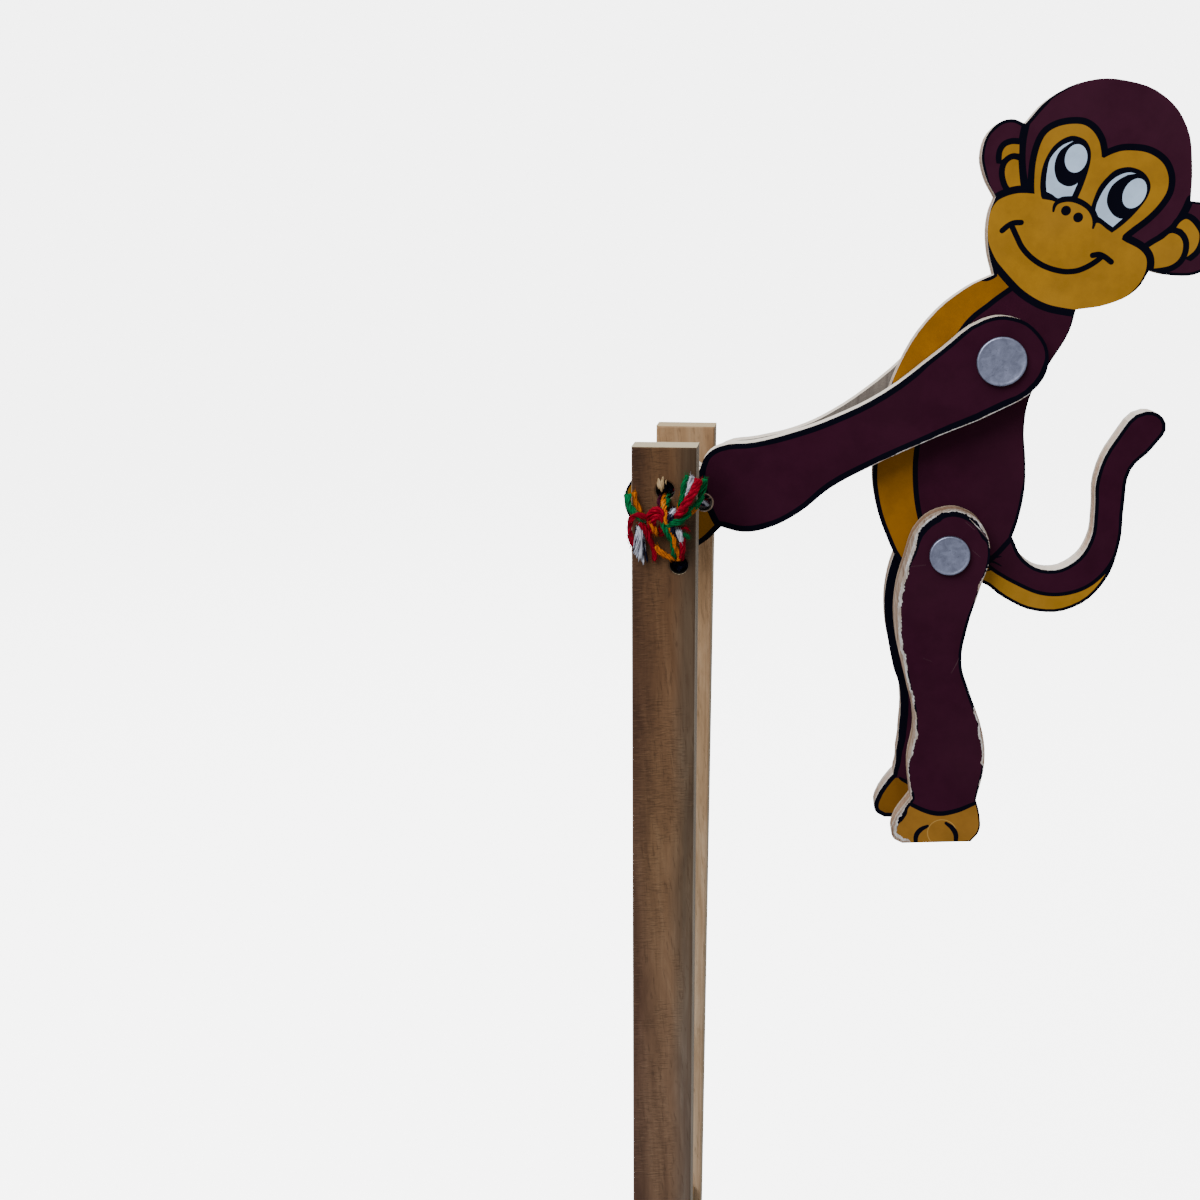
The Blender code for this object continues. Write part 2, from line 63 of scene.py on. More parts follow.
SHOULDER = PIVOTS["trunk_swing"]
HIP = PIVOTS["front_leg_swing"]
ARM = SHOULDER - STRING_AXIS
ARM_RISE = math.atan2(ARM.z, ARM.x)
STICK_LOW, STICK_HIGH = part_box("front_stick")
REAR_LOW, REAR_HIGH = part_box("rear_stick")

# Camera and stage
CAMERA_PLACE = (0.03523, -0.42234, 0.45557)
CAMERA_TURN_DEG = (75.931, 0.451, 7.619)
CAMERA_LENS = 43.5
CAMERA_SENSOR = 36.0
CAMERA_NEAR = 0.01
STAGE_RADIUS = 4.0
STAGE_WALL = 3.0
STAGE_CURVE = 1.5
STAGE_GLOW = 5.0
STAGE_DROP = 0.0005
STAGE_STEPS = 72
STAGE_CURVE_STEPS = 12
# Lights: place, size in metres and power in watts; both look at one point
LIGHTS = {"key": ((-0.55, -0.85, 1.35), 1.0, 23.0), "back": ((-0.2, 0.9, 1.6), 1.0, 26.0)}
LIGHT_AIM = (0.05, 0.0, 0.38)
DAYLIGHT = 0.5

# Linear colours
ALUMINIUM = (0.285, 0.31, 0.45)
STEEL = (0.40, 0.39, 0.37)
TORN = (0.7, 0.7, 0.7)
# Near-black painted shade on the walls of the drilled holes
HOLE_SHADE = (0.004, 0.003, 0.003)
# Radii between which the painted shade inside a drilled hole, and the burnt ring round it, fade out
HOLE_SHADE_RING = (2.53 * MM, 2.66 * MM)
BURNT_RING = (2.6 * MM, 3.4 * MM)

# Painted light and shade on each stick, as shares of its length: darker towards the top as painted shade,
# greyer and paler towards the foot as painted light; the rear stick's is lighter near the top, as painted
# light against the paw's shadow
FRONT_PAINTED_LIGHT = (
    (0.5, (1.15, 1.24, 1.5)),
    (0.7, (1.06, 1.08, 1.1)),
    (0.8, (0.88, 0.84, 0.84)),
    (0.9, (0.73, 0.66, 0.61)),
    (1.0, (0.62, 0.54, 0.46)),
)
REAR_PAINTED_LIGHT = (
    (0.5, (1.2, 1.34, 1.55)),
    (0.7, (1.2, 1.29, 1.38)),
    (0.8, (1.16, 1.2, 1.26)),
    (0.9, (1.05, 1.04, 1.03)),
    (1.0, (0.79, 0.76, 0.73)),
)

# Woods: tones of the grain, tints across the face, end grain, sides, share of saw marks, painted light and
# shade along
FRONT_WOOD = {
    "tones": ((0.102, 0.052, 0.025), (0.152, 0.081, 0.039), (0.200, 0.114, 0.058)),
    "bands": ((0.52, 0.46, 0.52), (1.0, 1.0, 1.0), (0.70, 0.87, 1.10)),
    "end": (0.48, 0.40, 0.26), "side": (0.40, 0.335, 0.265), "marked": 1.0, "along": FRONT_PAINTED_LIGHT,
}
REAR_WOOD = {
    "tones": ((0.32, 0.19, 0.095), (0.43, 0.27, 0.145), (0.53, 0.36, 0.21)),
    "bands": ((1.0, 0.96, 0.92), (1.0, 1.0, 1.0), (0.98, 0.96, 0.95)),
    "end": (0.44, 0.33, 0.18), "side": (0.56, 0.44, 0.31), "marked": 0.3, "along": REAR_PAINTED_LIGHT,
}
CROSSBAR_WOOD = {
    "tones": ((0.15, 0.085, 0.04), (0.23, 0.14, 0.07), (0.31, 0.20, 0.11)),
    "bands": ((1.0, 0.95, 0.9), (1.0, 1.0, 1.0), (0.95, 0.95, 0.95)),
    "end": (0.30, 0.19, 0.10), "side": (0.26, 0.17, 0.09), "marked": 0.5,
}

# Stain of each plate's sawn edges, and how much painted light makes them paler where they look up
PLY_STAINS = {
    "body_plate": ((0.96, 0.95, 0.94), 0.6),
    "front_arm": ((1.0, 0.99, 0.97), 0.6),
    "rear_arm": ((1.0, 0.98, 0.95), 0.6),
    "front_leg": ((0.62, 0.55, 0.48), 0.0),
    "rear_leg": ((0.74, 0.73, 0.73), 0.4),
}

# Least share of a face's normal along Y for it to count as the plate's flat face
FACING = 0.9
# Millimetres within which a picture's points are merged, and the length that counts as none
MERGED = 0.0005
TINY = 0.01
# How softly the widths at two places blend, in square millimetres
BLENDED = 0.5


class Look:
    """Builds one Principled material out of nodes."""

    def __init__(self, name, roughness=0.6, metallic=0.0, **fixed):
        self.material = bpy.data.materials.new(name)
        self.material.use_nodes = True
        self.tree = self.material.node_tree
        self.shader = self.tree.nodes["Principled BSDF"]
        self.set("Roughness", roughness)
        self.set("Metallic", metallic)
        for socket, value in fixed.items():
            self.set(socket.replace("_", " "), value)

    def set(self, socket, value):
        self.join(self.shader.inputs[socket], value)

    def join(self, socket, value):
        if isinstance(value, bpy.types.NodeSocket):
            self.tree.links.new(value, socket)
        elif hasattr(value, "__len__") and len(value) == 3 and socket.type == "RGBA":
            socket.default_value = (*value, 1.0)
        else:
            socket.default_value = value

    def add(self, kind, inputs, output=0, **settings):
        made = self.tree.nodes.new(kind)
        for key, value in settings.items():
            setattr(made, key, value)
        for key, value in inputs.items():
            self.join(made.inputs[key], value)
        return made.outputs[output]

    def axis(self, letter, source="Object"):
        place = self.add("ShaderNodeTexCoord", {}, source)
        return self.add("ShaderNodeSeparateXYZ", {0: place}, letter)

    def facing(self, letter):
        return self.axis(letter, "Normal")

    def noise(self, vector, detail=4.0, roughness=0.55, distortion=0.0):
        return self.add("ShaderNodeTexNoise", {
            "Vector": vector, "Scale": 1.0, "Detail": detail, "Roughness": roughness,
            "Distortion": distortion})

    def grain(self, scale, detail=4.0, roughness=0.55, distortion=0.0, turn=(0.0, 0.0, 0.0)):
        """Noise in turned object coordinates, with one scale or a scale along each axis."""
        source = self.add("ShaderNodeTexCoord", {}, "Object")
        turned = self.add("ShaderNodeMapping", {"Vector": source, "Rotation": turn})
        scales = scale if isinstance(scale, tuple) else (scale, scale, scale)
        scaled = self.add("ShaderNodeMapping", {"Vector": turned, "Scale": scales})
        return self.noise(scaled, detail, roughness, distortion)

    def math(self, operation, a, b=0.0, c=0.0):
        return self.add("ShaderNodeMath", {0: a, 1: b, 2: c}, operation=operation)

    def times(self, a, b):
        return self.math("MULTIPLY", a, b)

    def share(self, value, low, high):
        """0 at low, 1 at high, straight between."""
        return self.add("ShaderNodeMapRange", {"Value": value, "From Min": low, "From Max": high})

    def spread(self, value, low, high):
        """Low where the value is 0, high where it is 1."""
        return self.add("ShaderNodeMapRange", {"Value": value, "To Min": low, "To Max": high})

    def step(self, value, low, high):
        """0 below low, 1 above high, smooth between."""
        return self.add("ShaderNodeMapRange", {
            "Value": value, "From Min": low, "From Max": high}, interpolation_type="SMOOTHSTEP")

    def mix(self, factor, a, b, blend="MIX"):
        return self.add("ShaderNodeMix", {0: factor, 6: a, 7: b}, 2, data_type="RGBA", blend_type=blend)

    def stain(self, under, over, most, value, low, high):
        """A colour laid over another as a value goes from low to high, up to the share called most."""
        return self.mix(self.times(self.step(value, low, high), most), under, over)

    def ramp(self, factor, *stops):
        made = self.tree.nodes.new("ShaderNodeValToRGB")
        self.join(made.inputs[0], factor)
        elements = made.color_ramp.elements
        while len(elements) < len(stops):
            elements.new(0.5)
        for element, (position, color) in zip(elements, stops):
            element.position = position
            element.color = (*color, 1.0)
        return made.outputs[0]

    def bump(self, height, distance, strength, under=None):
        """Relief of some height, on top of another relief if there is one."""
        inputs = {"Height": height, "Distance": distance, "Strength": strength}
        if under is not None:
            inputs["Normal"] = under
        return self.add("ShaderNodeBump", inputs)

    def finish(self, color, *relief):
        self.set("Base Color", color)
        self.set("Normal", self.bump(*relief))
        return self.material


def shade(color, factor):
    return tuple(part * factor for part in color)


def ring_mask(look, centre, inner, outer):
    """1 near a hole's axis, which runs along Y, falling to 0 at the outer radius."""
    x = look.math("SUBTRACT", look.axis("X"), centre[0])
    z = look.math("SUBTRACT", look.axis("Z"), centre[1])
    distance = look.math("SQRT", look.math("ADD", look.times(x, x), look.times(z, z)))
    return look.step(distance, outer, inner)


def lath_material(name, low, high, tones, bands, end, side, marked, along=(), holes=()):
    """Sawn wood along Z: blotchy grain, saw marks, a weathered edge, pale end grain and sides.

    Along gives the stops of a painted light and shade tint from the foot to the top.
    """
    dark, middle, light = tones
    look = Look(name, roughness=0.75, Specular_IOR_Level=0.2)
    blotch = look.grain((170.0, 170.0, 26.0), 5.0, 0.6, 0.7, turn=(0.0, 0.08, 0.0))
    fibres = look.grain((1300.0, 1300.0, 30.0), 5.0, 0.65)
    flecks = look.grain((1500.0, 1500.0, 170.0), 3.0, 0.6, turn=(0.0, 0.10, 0.0))
    saw = look.grain((380.0, 380.0, 2300.0), 2.0, 0.5, 0.4, turn=(0.0, 0.07, 0.0))
    patches = look.grain((120.0, 120.0, 45.0), 3.0)
    wander = look.grain((60.0, 60.0, 16.0), 3.0)
    across = look.share(look.axis("X"), low.x, high.x)
    across = look.math("MULTIPLY_ADD", look.math("SUBTRACT", wander, 0.5), 0.4, across)
    left, centre, right = bands
    color = look.ramp(blotch, (0.32, dark), (0.50, middle), (0.68, light))
    tint = look.ramp(across, (0.03, left), (0.38, centre), (0.62, centre), (0.84, right))
    color = look.mix(1.0, color, tint, "MULTIPLY")
    weathered = look.math("MULTIPLY_ADD", look.step(across, 0.62, 0.86), 0.30, 0.20)
    color = look.stain(color, shade(dark, 0.7), weathered, fibres, 0.42, 0.70)
    color = look.stain(color, shade(dark, 0.5), 0.45, flecks, 0.58, 0.68)
    left_side = look.spread(across, 0.16, -0.14)
    where = look.times(look.step(look.math("ADD", patches, left_side), 0.44, 0.60), marked)
    furrows = look.times(look.step(saw, 0.46, 0.36), where)
    ridges = look.times(look.step(saw, 0.56, 0.66), where)
    color = look.mix(look.times(furrows, 0.36), color, shade(dark, 0.5))
    color = look.mix(look.times(ridges, 0.20), color, shade(light, 1.2))
    # Painted light and shade along the stick: darker towards the top, paler towards the foot
    if along:
        risen = look.share(look.axis("Z"), low.z, high.z)
        color = look.mix(1.0, color, look.ramp(risen, *along), "MULTIPLY")
    to_side = look.step(look.math("ABSOLUTE", look.facing("X")), 0.35, 0.85)
    quartered = look.ramp(
        blotch, (0.30, shade(side, 0.68)), (0.50, shade(side, 0.90)), (0.70, shade(side, 1.15)))
    quartered = look.stain(quartered, shade(side, 0.45), 0.55, fibres, 0.40, 0.70)
    color = look.mix(to_side, color, quartered)
    for hole in holes:
        burnt = look.times(ring_mask(look, hole, *BURNT_RING), 0.6)
        color = look.mix(burnt, color, shade(dark, 0.3))
    ragged_end = look.grain(900.0, 3.0)
    height = look.math("MULTIPLY_ADD", ragged_end, 0.8 * MM, look.axis("Z"))
    worn = look.step(height, high.z + 0.38 * MM, high.z + 0.50 * MM)
    worn = look.math("MAXIMUM", worn, look.step(look.facing("Z"), 0.5, 0.8))
    grain_end = look.grain((800.0, 1700.0, 800.0), 4.0)
    color = look.mix(worn, color, look.mix(grain_end, shade(end, 0.70), end))
    # The holes' walls are painted near black, as painted shade
    for hole in holes:
        color = look.mix(ring_mask(look, hole, *HOLE_SHADE_RING), color, HOLE_SHADE)
    look.set("Roughness", look.spread(blotch, 0.66, 0.88))
    fibrous = look.bump(look.math("ADD", fibres, look.times(flecks, 0.6)), 0.22 * MM, 0.6)
    return look.finish(color, look.math("SUBTRACT", ridges, furrows), 0.12 * MM, 0.6, fibrous)


def plywood_material(name, low, high, stain, pale, holes=()):
    """Three plies seen on the sawn edges, made paler by painted light where they look up, and a bare veneer
    on the flat faces.
    """
    look = Look(name, roughness=0.8)
    through = look.share(look.axis("Y"), low, high)
    wobble = look.grain(350.0, 2.0)
    layer = look.math("ADD", through, look.times(look.math("SUBTRACT", wobble, 0.5), 0.10))
    plies = look.ramp(
        layer, (0.00, (0.70, 0.63, 0.54)), (0.16, (0.62, 0.52, 0.42)), (0.21, (0.24, 0.15, 0.10)),
        (0.27, (0.46, 0.30, 0.21)), (0.60, (0.52, 0.36, 0.26)), (0.66, (0.22, 0.14, 0.09)),
        (0.72, (0.58, 0.47, 0.37)), (1.00, (0.66, 0.58, 0.50)))
    sawn = look.grain((1300.0, 500.0, 1300.0), 5.0, 0.6)
    edge = look.mix(look.step(sawn, 0.25, 0.75), look.mix(0.55, plies, (0.30, 0.22, 0.16), "MULTIPLY"), plies)
    dirt = look.grain(90.0, 4.0)
    edge = look.stain(edge, (0.30, 0.22, 0.15), 0.35, dirt, 0.5, 0.75)
    # Painted light: sawn edges that look up are made paler
    painted_top_light = look.times(look.step(look.facing("Z"), 0.2, 0.9), pale)
    edge = look.mix(painted_top_light, edge, (0.80, 0.76, 0.68))
    edge = look.mix(1.0, edge, stain, "MULTIPLY")
    # The holes' walls are painted near black, as painted shade
    for hole in holes:
        edge = look.mix(ring_mask(look, hole, *HOLE_SHADE_RING), edge, HOLE_SHADE)
    streaks = look.grain((600.0, 600.0, 16.0), 6.0, 0.6)
    veneer = look.ramp(
        streaks, (0.30, (0.11, 0.09, 0.08)), (0.55, (0.18, 0.155, 0.135)), (0.80, (0.25, 0.22, 0.19)))
    flat = look.step(look.math("ABSOLUTE", look.facing("Y")), 0.6, 0.9)
    relief = look.math("ADD", sawn, look.times(streaks, 0.5))
    return look.finish(look.mix(flat, edge, veneer), relief, 0.3 * MM, 0.6)


def ink_material(name, color, lift):
    """Printed paper: fine paper grain, faint mottling and pale rubbed specks."""
    look = Look(name, roughness=0.5, Specular_IOR_Level=0.03)
    grain = look.grain(2400.0, 3.0, 0.7)
    mottle = look.grain(140.0, 4.0, 0.6)
    cloud = look.grain(28.0, 2.0)
    tone = look.mix(look.step(mottle, 0.3, 0.7), shade(color, 0.88), shade(color, 1.12))
    tone = look.stain(tone, lift, 0.35, cloud, 0.35, 0.7)
    tone = look.stain(tone, lift, 0.22, grain, 0.55, 0.8)
    rubbed = look.grain(520.0, 5.0, 0.7, turn=(0.3, 0.5, 0.2))
    tone = look.stain(tone, shade(lift, 1.8), 0.5, rubbed, 0.70, 0.80)
    look.set("Roughness", look.spread(mottle, 0.42, 0.62))
    return look.finish(tone, grain, 0.05 * MM, 0.35)


def torn_material():
    """Torn white paper with its fibres."""
    look = Look("torn_paper", roughness=0.9)
    fibres = look.grain((1500.0, 1500.0, 420.0), 6.0, 0.7, 1.0, turn=(0.0, 0.12, 0.0))
    stain = look.grain((260.0, 260.0, 120.0), 4.0)
    tone = look.ramp(fibres, (0.30, (0.13, 0.10, 0.09)), (0.45, (0.42, 0.38, 0.35)), (0.60, TORN))
    tone = look.stain(tone, (0.36, 0.25, 0.18), 0.7, stain, 0.48, 0.66)
    return look.finish(tone, fibres, 0.35 * MM, 0.9)


def bare_material():
    """Splintered plywood where the print and its paper are gone."""
    look = Look("bare_plywood", roughness=0.85)
    plies = look.grain((1500.0, 1500.0, 130.0), 5.0, 0.6, 0.6, turn=(0.0, 0.12, 0.0))
    tone = look.ramp(
        plies, (0.30, (0.12, 0.07, 0.045)), (0.47, (0.28, 0.19, 0.14)), (0.66, (0.47, 0.36, 0.28)))
    return look.finish(tone, plies, 0.4 * MM, 0.9)


def metal_material(name, color, roughness, scale):
    """Dull metal with a cloudy skin, fine scratches and dark pits."""
    look = Look(name, roughness=roughness, metallic=1.0)
    cloud = look.grain(scale, 5.0, 0.6, 0.6)
    fine = look.grain(scale * 9, 3.0)
    scratch = look.grain((scale * 1.2, scale, scale * 22), 2.0, 0.5, 1.2, turn=(0.0, 0.7, 0.0))
    tone = look.ramp(cloud, (0.30, shade(color, 0.76)), (0.52, color), (0.72, shade(color, 1.28)))
    tone = look.stain(tone, shade(color, 1.6), 0.4, scratch, 0.60, 0.70)
    pits = look.step(look.grain(scale * 2.6, 4.0, 0.6), 0.58, 0.68)
    tone = look.mix(look.times(pits, 0.6), tone, shade(color, 0.55))
    look.set("Roughness", look.spread(cloud, roughness - 0.10, roughness + 0.14))
    return look.finish(tone, fine, 0.03 * MM, 0.5, look.bump(cloud, 0.10 * MM, 0.4))


def yarn_material(name, color):
    """Loose yarn: each strand's UV map gives it streaks of its own; their dark parts, and a dark cloud, are
    partly painted shade between the strands.
    """
    look = Look(name, roughness=0.95, Specular_IOR_Level=0.05)
    uv = look.add("ShaderNodeTexCoord", {}, "UV")
    streaks = look.noise(look.add("ShaderNodeMapping", {"Vector": uv, "Scale": (0.7, 3.0, 1.0)}), 4.0, 0.65)
    cloud = look.grain(420.0, 3.0)
    # Dark streaks and the dark cloud are the yarn's own mottling, and partly painted shade between strands
    tone = look.ramp(
        streaks, (0.32, shade(color, 0.22)), (0.52, shade(color, 0.86)), (0.72, shade(color, 1.30)))
    tone = look.stain(tone, shade(color, 0.30), 0.6, cloud, 0.42, 0.66)
    return look.finish(tone, streaks, 0.2 * MM, 0.7)


def splinter_material():
    """Freshly split wood."""
    look = Look("bare_wood", roughness=0.8, Specular_IOR_Level=0.2)
    fibres = look.grain((1600.0, 1600.0, 120.0), turn=(0.0, 0.2, 0.0))
    tone = look.ramp(
        fibres, (0.30, (0.16, 0.09, 0.04)), (0.50, (0.42, 0.29, 0.15)), (0.70, (0.60, 0.46, 0.28)))
    return look.finish(tone, fibres, 0.15 * MM, 0.7)


def stage_material():
    look = Look("pale_stage", roughness=0.9)
    cloud = look.grain(0.6, 2.0)
    look.set("Base Color", look.ramp(cloud, (0.3, (0.90, 0.90, 0.90)), (0.7, (0.93, 0.93, 0.93))))
    look.set("Emission Color", (1.0, 1.0, 1.0))
    look.set("Emission Strength", STAGE_GLOW)
    look.material.cycles.emission_sampling = "NONE"
    return look.material


# Printed inks as linear colours, each with the tone that it is rubbed to, and bare places
INKS = {
    "maroon": ink_material("ink_maroon", (0.029, 0.0042, 0.0145), (0.040, 0.0090, 0.0205)),
    "plum": ink_material("ink_plum", (0.036, 0.0068, 0.0185), (0.048, 0.012, 0.026)),
    "ochre": ink_material("ink_ochre", (0.315, 0.152, 0.011), (0.35, 0.18, 0.026)),
    "amber": ink_material("ink_amber", (0.235, 0.095, 0.006), (0.265, 0.115, 0.010)),
    "black": ink_material("ink_black", (0.0015, 0.0017, 0.0062), (0.004, 0.004, 0.009)),
    "white": ink_material("ink_white", (0.46, 0.6, 0.8), (0.50, 0.60, 0.74)),
    "torn": torn_material(),
    "bare": bare_material(),
    "scuffed": ink_material("ink_scuffed", (0.075, 0.040, 0.048), (0.15, 0.11, 0.11)),
    "rubbed": ink_material("ink_rubbed", (0.40, 0.22, 0.05), (0.44, 0.30, 0.12)),
    "honey": ink_material("ink_honey", (0.247, 0.113, 0.017), (0.275, 0.133, 0.026)),
    # Amber darkened as painted shade, for the rear foot in the front leg's shadow
    "shaded_amber": ink_material("ink_shaded_amber", (0.18, 0.073, 0.008), (0.205, 0.090, 0.013)),
}
INK_ORDER = list(INKS)
YARN_TONES = {
    "red": (0.34, 0.004, 0.020),
    "green": (0.002, 0.17, 0.05),
    "orange": (0.78, 0.20, 0.002),
    "white": (0.70, 0.72, 0.84),
    "navy": (0.012, 0.013, 0.035),
    "purple": (0.06, 0.006, 0.024),
}
YARNS = {color: yarn_material(f"yarn_{color}", tone) for color, tone in YARN_TONES.items()}
YARN_ORDER = list(YARNS)


def add_object(name, data):
    made = bpy.data.objects.new(name, data)
    bpy.context.scene.collection.objects.link(made)
    return made


def add_piece(name, mesh, body, nodes=()):
    piece = add_object(name, mesh)
    if body:
        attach(piece, body)
    if nodes:
        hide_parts(*nodes)
    return piece


def closed_mesh(shape, name, materials):
    """A mesh made of a built shape, with its faces turned outwards."""
    bmesh.ops.recalc_face_normals(shape, faces=shape.faces)
    mesh = bpy.data.meshes.new(name)
    shape.to_mesh(mesh)
    shape.free()
    for material in materials:
        mesh.materials.append(material)
    return mesh


def open_edges(rings):
    """Edges of face rings that no neighbour runs back along."""
    edges = set()
    for ring in rings:
        for a, b in zip(ring, ring[1:] + ring[:1]):
            if (b, a) in edges:
                edges.remove((b, a))
            else:
                edges.add((a, b))
    return edges


def curve_through(points, steps=8):
    """Points on a Catmull-Rom curve through given points of any dimension."""
    points = [Vector(p) for p in points]
    points = [2 * points[0] - points[1], *points, 2 * points[-1] - points[-2]]
    path = []
    for a, b, c, d in zip(points, points[1:], points[2:], points[3:]):
        for i in range(steps):
            t = i / steps
            path.append(b + 0.5 * t * (c - a + t * (2 * a - 5 * b + 4 * c - d + t * (3 * b - a - 3 * c + d))))
    return [*path, points[-2]]


def ellipse(x, z, across, up, lean_deg=0.0, steps=40):
    turn = Matrix.Rotation(math.radians(-lean_deg), 2)
    return [
        Vector((x, z)) + turn @ Vector((across * math.cos(a), up * math.sin(a)))
        for a in (2 * math.pi * i / steps for i in range(steps))
    ]


def stroke(points, width, taper=0.0):
    """The outline of a pen line with round ends; taper narrows it towards both ends."""
    path = [Vector(p) for p in points]
    left, right = [], []
    last = len(path) - 1
    for i, point in enumerate(path):
        ahead = (path[min(i + 1, last)] - path[max(i - 1, 0)]).normalized()
        normal = Vector((-ahead.y, ahead.x))
        half = width / 2 * (1 - taper * abs(2 * i / last - 1) ** 2)
        left.append(point + normal * half)
        right.append(point - normal * half)
    return [*left, *cap(path[-1], left[-1]), *reversed(right), *cap(path[0], right[0])]


def cap(centre, start, steps=6):
    arm = start - centre
    return [centre + Matrix.Rotation(-math.pi * i / steps, 2) @ arm for i in range(1, steps)]


def border_loops(node, towards):
    """Border loops, as (x, z) in millimetres, of a plate's face that looks to -Y (-1) or +Y (1)."""
    mesh = frame["nodes"][node].data
    rings = []
    for polygon in mesh.polygons:
        if polygon.normal.y * towards > FACING:
            corners = [mesh.vertices[i].co for i in polygon.vertices]
            rings.append([(round(c.x / MM, 3), round(c.z / MM, 3)) for c in corners])
    follow = dict(open_edges(rings))
    loops = []
    while follow:
        start, at = follow.popitem()
        loop = [start]
        while at != start:
            loop.append(at)
            at = follow.pop(at)
        loops.append([Vector(p) for p in loop])
    return sorted(loops, key=lambda loop: -abs(area(loop)))


def area(loop):
    return sum(a.x * b.y - b.x * a.y for a, b in zip(loop, loop[1:] + loop[:1])) / 2


def resampled(loop, spacing):
    """A closed loop with extra points so that none lie further apart than the spacing."""
    points = []
    for a, b in zip(loop, loop[1:] + loop[:1]):
        pieces = max(1, math.ceil((b - a).length / spacing))
        points += [a.lerp(b, i / pieces) for i in range(pieces)]
    return points


def inset(loop, depth_at):
    """A closed loop moved inwards by depth_at(point) millimetres."""
    side = 1.0 if area(loop) > 0 else -1.0
    points = []
    count = len(loop)
    for i, point in enumerate(loop):
        ahead = loop[(i + 1) % count] - loop[i - 1]
        normal = Vector((-ahead.y, ahead.x)).normalized() * side
        points.append(point + normal * depth_at(point))
    return points


def width_map(anchors):
    """Width at a point, blended from (x, z, width) anchors nearby."""
    def width(point):
        total = 0.0
        weighted = 0.0
        for x, z, value in anchors:
            near = 1.0 / ((point.x - x) ** 2 + (point.y - z) ** 2 + BLENDED) ** 2
            total += near
            weighted += near * value
        return weighted / total
    return width


def inside(loop, points):
    """Which points lie inside a closed loop, by winding number."""
    ring = np.array([tuple(p) for p in loop])
    after = np.roll(ring, -1, axis=0)
    winding = np.zeros(len(points), int)
    for (ax, ay), (bx, by) in zip(ring, after):
        cross = (bx - ax) * (points[:, 1] - ay) - (points[:, 0] - ax) * (by - ay)
        winding += ((ay <= points[:, 1]) & (by > points[:, 1]) & (cross > 0)).astype(int)
        winding -= ((ay > points[:, 1]) & (by <= points[:, 1]) & (cross < 0)).astype(int)
    return winding != 0


def print_mesh(name, node, towards, layers):
    """A thin printed sheet on a plate's face, cut along the edges of its coloured shapes.

    Layers are (ink, closed loop in millimetres, whether it covers the loop's outside); later layers
    cover earlier ones.
    """
    low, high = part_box(node)
    face = low.y if towards < 0 else high.y
    back = high.y if towards < 0 else low.y
    loops = plate_loops(node, towards)
    points = []
    edges = []
    for loop in [*loops, *[layer[1] for layer in layers]]:
        start = len(points)
        points += [Vector(p[:2]) for p in loop]
        edges += [(start + i, start + (i + 1) % len(loop)) for i in range(len(loop))]
    flat, _, triangles, _, _, _ = delaunay_2d_cdt(points, edges, [], 0, MERGED)
    places = np.array([tuple(p) for p in flat])
    triangles = np.array([list(t) for t in triangles])
    centres = places[triangles].mean(axis=1)
    kept = inside(loops[0], centres)
    for loop in loops[1:]:
        kept &= ~inside(loop, centres)
    triangles = triangles[kept]
    centres = centres[kept]
    inks = np.full(len(triangles), INK_ORDER.index("maroon"))
    for ink, shape, outside in layers:
        inks[inside(shape, centres) != outside] = INK_ORDER.index(ink)
    return sheet_mesh(name, places, triangles, inks, face, back)


def sheet_mesh(name, places, triangles, inks, face, back):
    """A closed sheet: the inked face, paper edges and a paper back."""
    shape = bmesh.new()
    used = np.unique(triangles)
    front = {i: shape.verts.new((places[i][0] * MM, face, places[i][1] * MM)) for i in used}
    rear = {i: shape.verts.new((places[i][0] * MM, back, places[i][1] * MM)) for i in used}
    paper = INK_ORDER.index("torn")
    order = -1 if back < face else 1
    rings = [[int(i) for i in corners][::order] for corners in triangles]
    for ring, ink in zip(rings, inks):
        add_face(shape, [front[i] for i in ring], int(ink))
        add_face(shape, [rear[i] for i in reversed(ring)], paper)
    for a, b in sorted(open_edges(rings)):
        add_face(shape, [front[b], front[a], rear[a], rear[b]], paper)
    return closed_mesh(shape, name, INKS.values())


def add_face(shape, corners, slot):
    face = shape.faces.new(corners)
    face.material_index = slot


def from_point(place, points):
    return [Vector((place.x / MM + p[0], place.z / MM + p[1])) for p in points]


def from_arm(points):
    """Points along the arm, x from the string axis towards the shoulder, in the toy's millimetres."""
    turn = Matrix.Rotation(ARM_RISE, 2)
    start = Vector((STRING_AXIS.x, STRING_AXIS.z)) / MM
    return [start + turn @ Vector(p) for p in points]


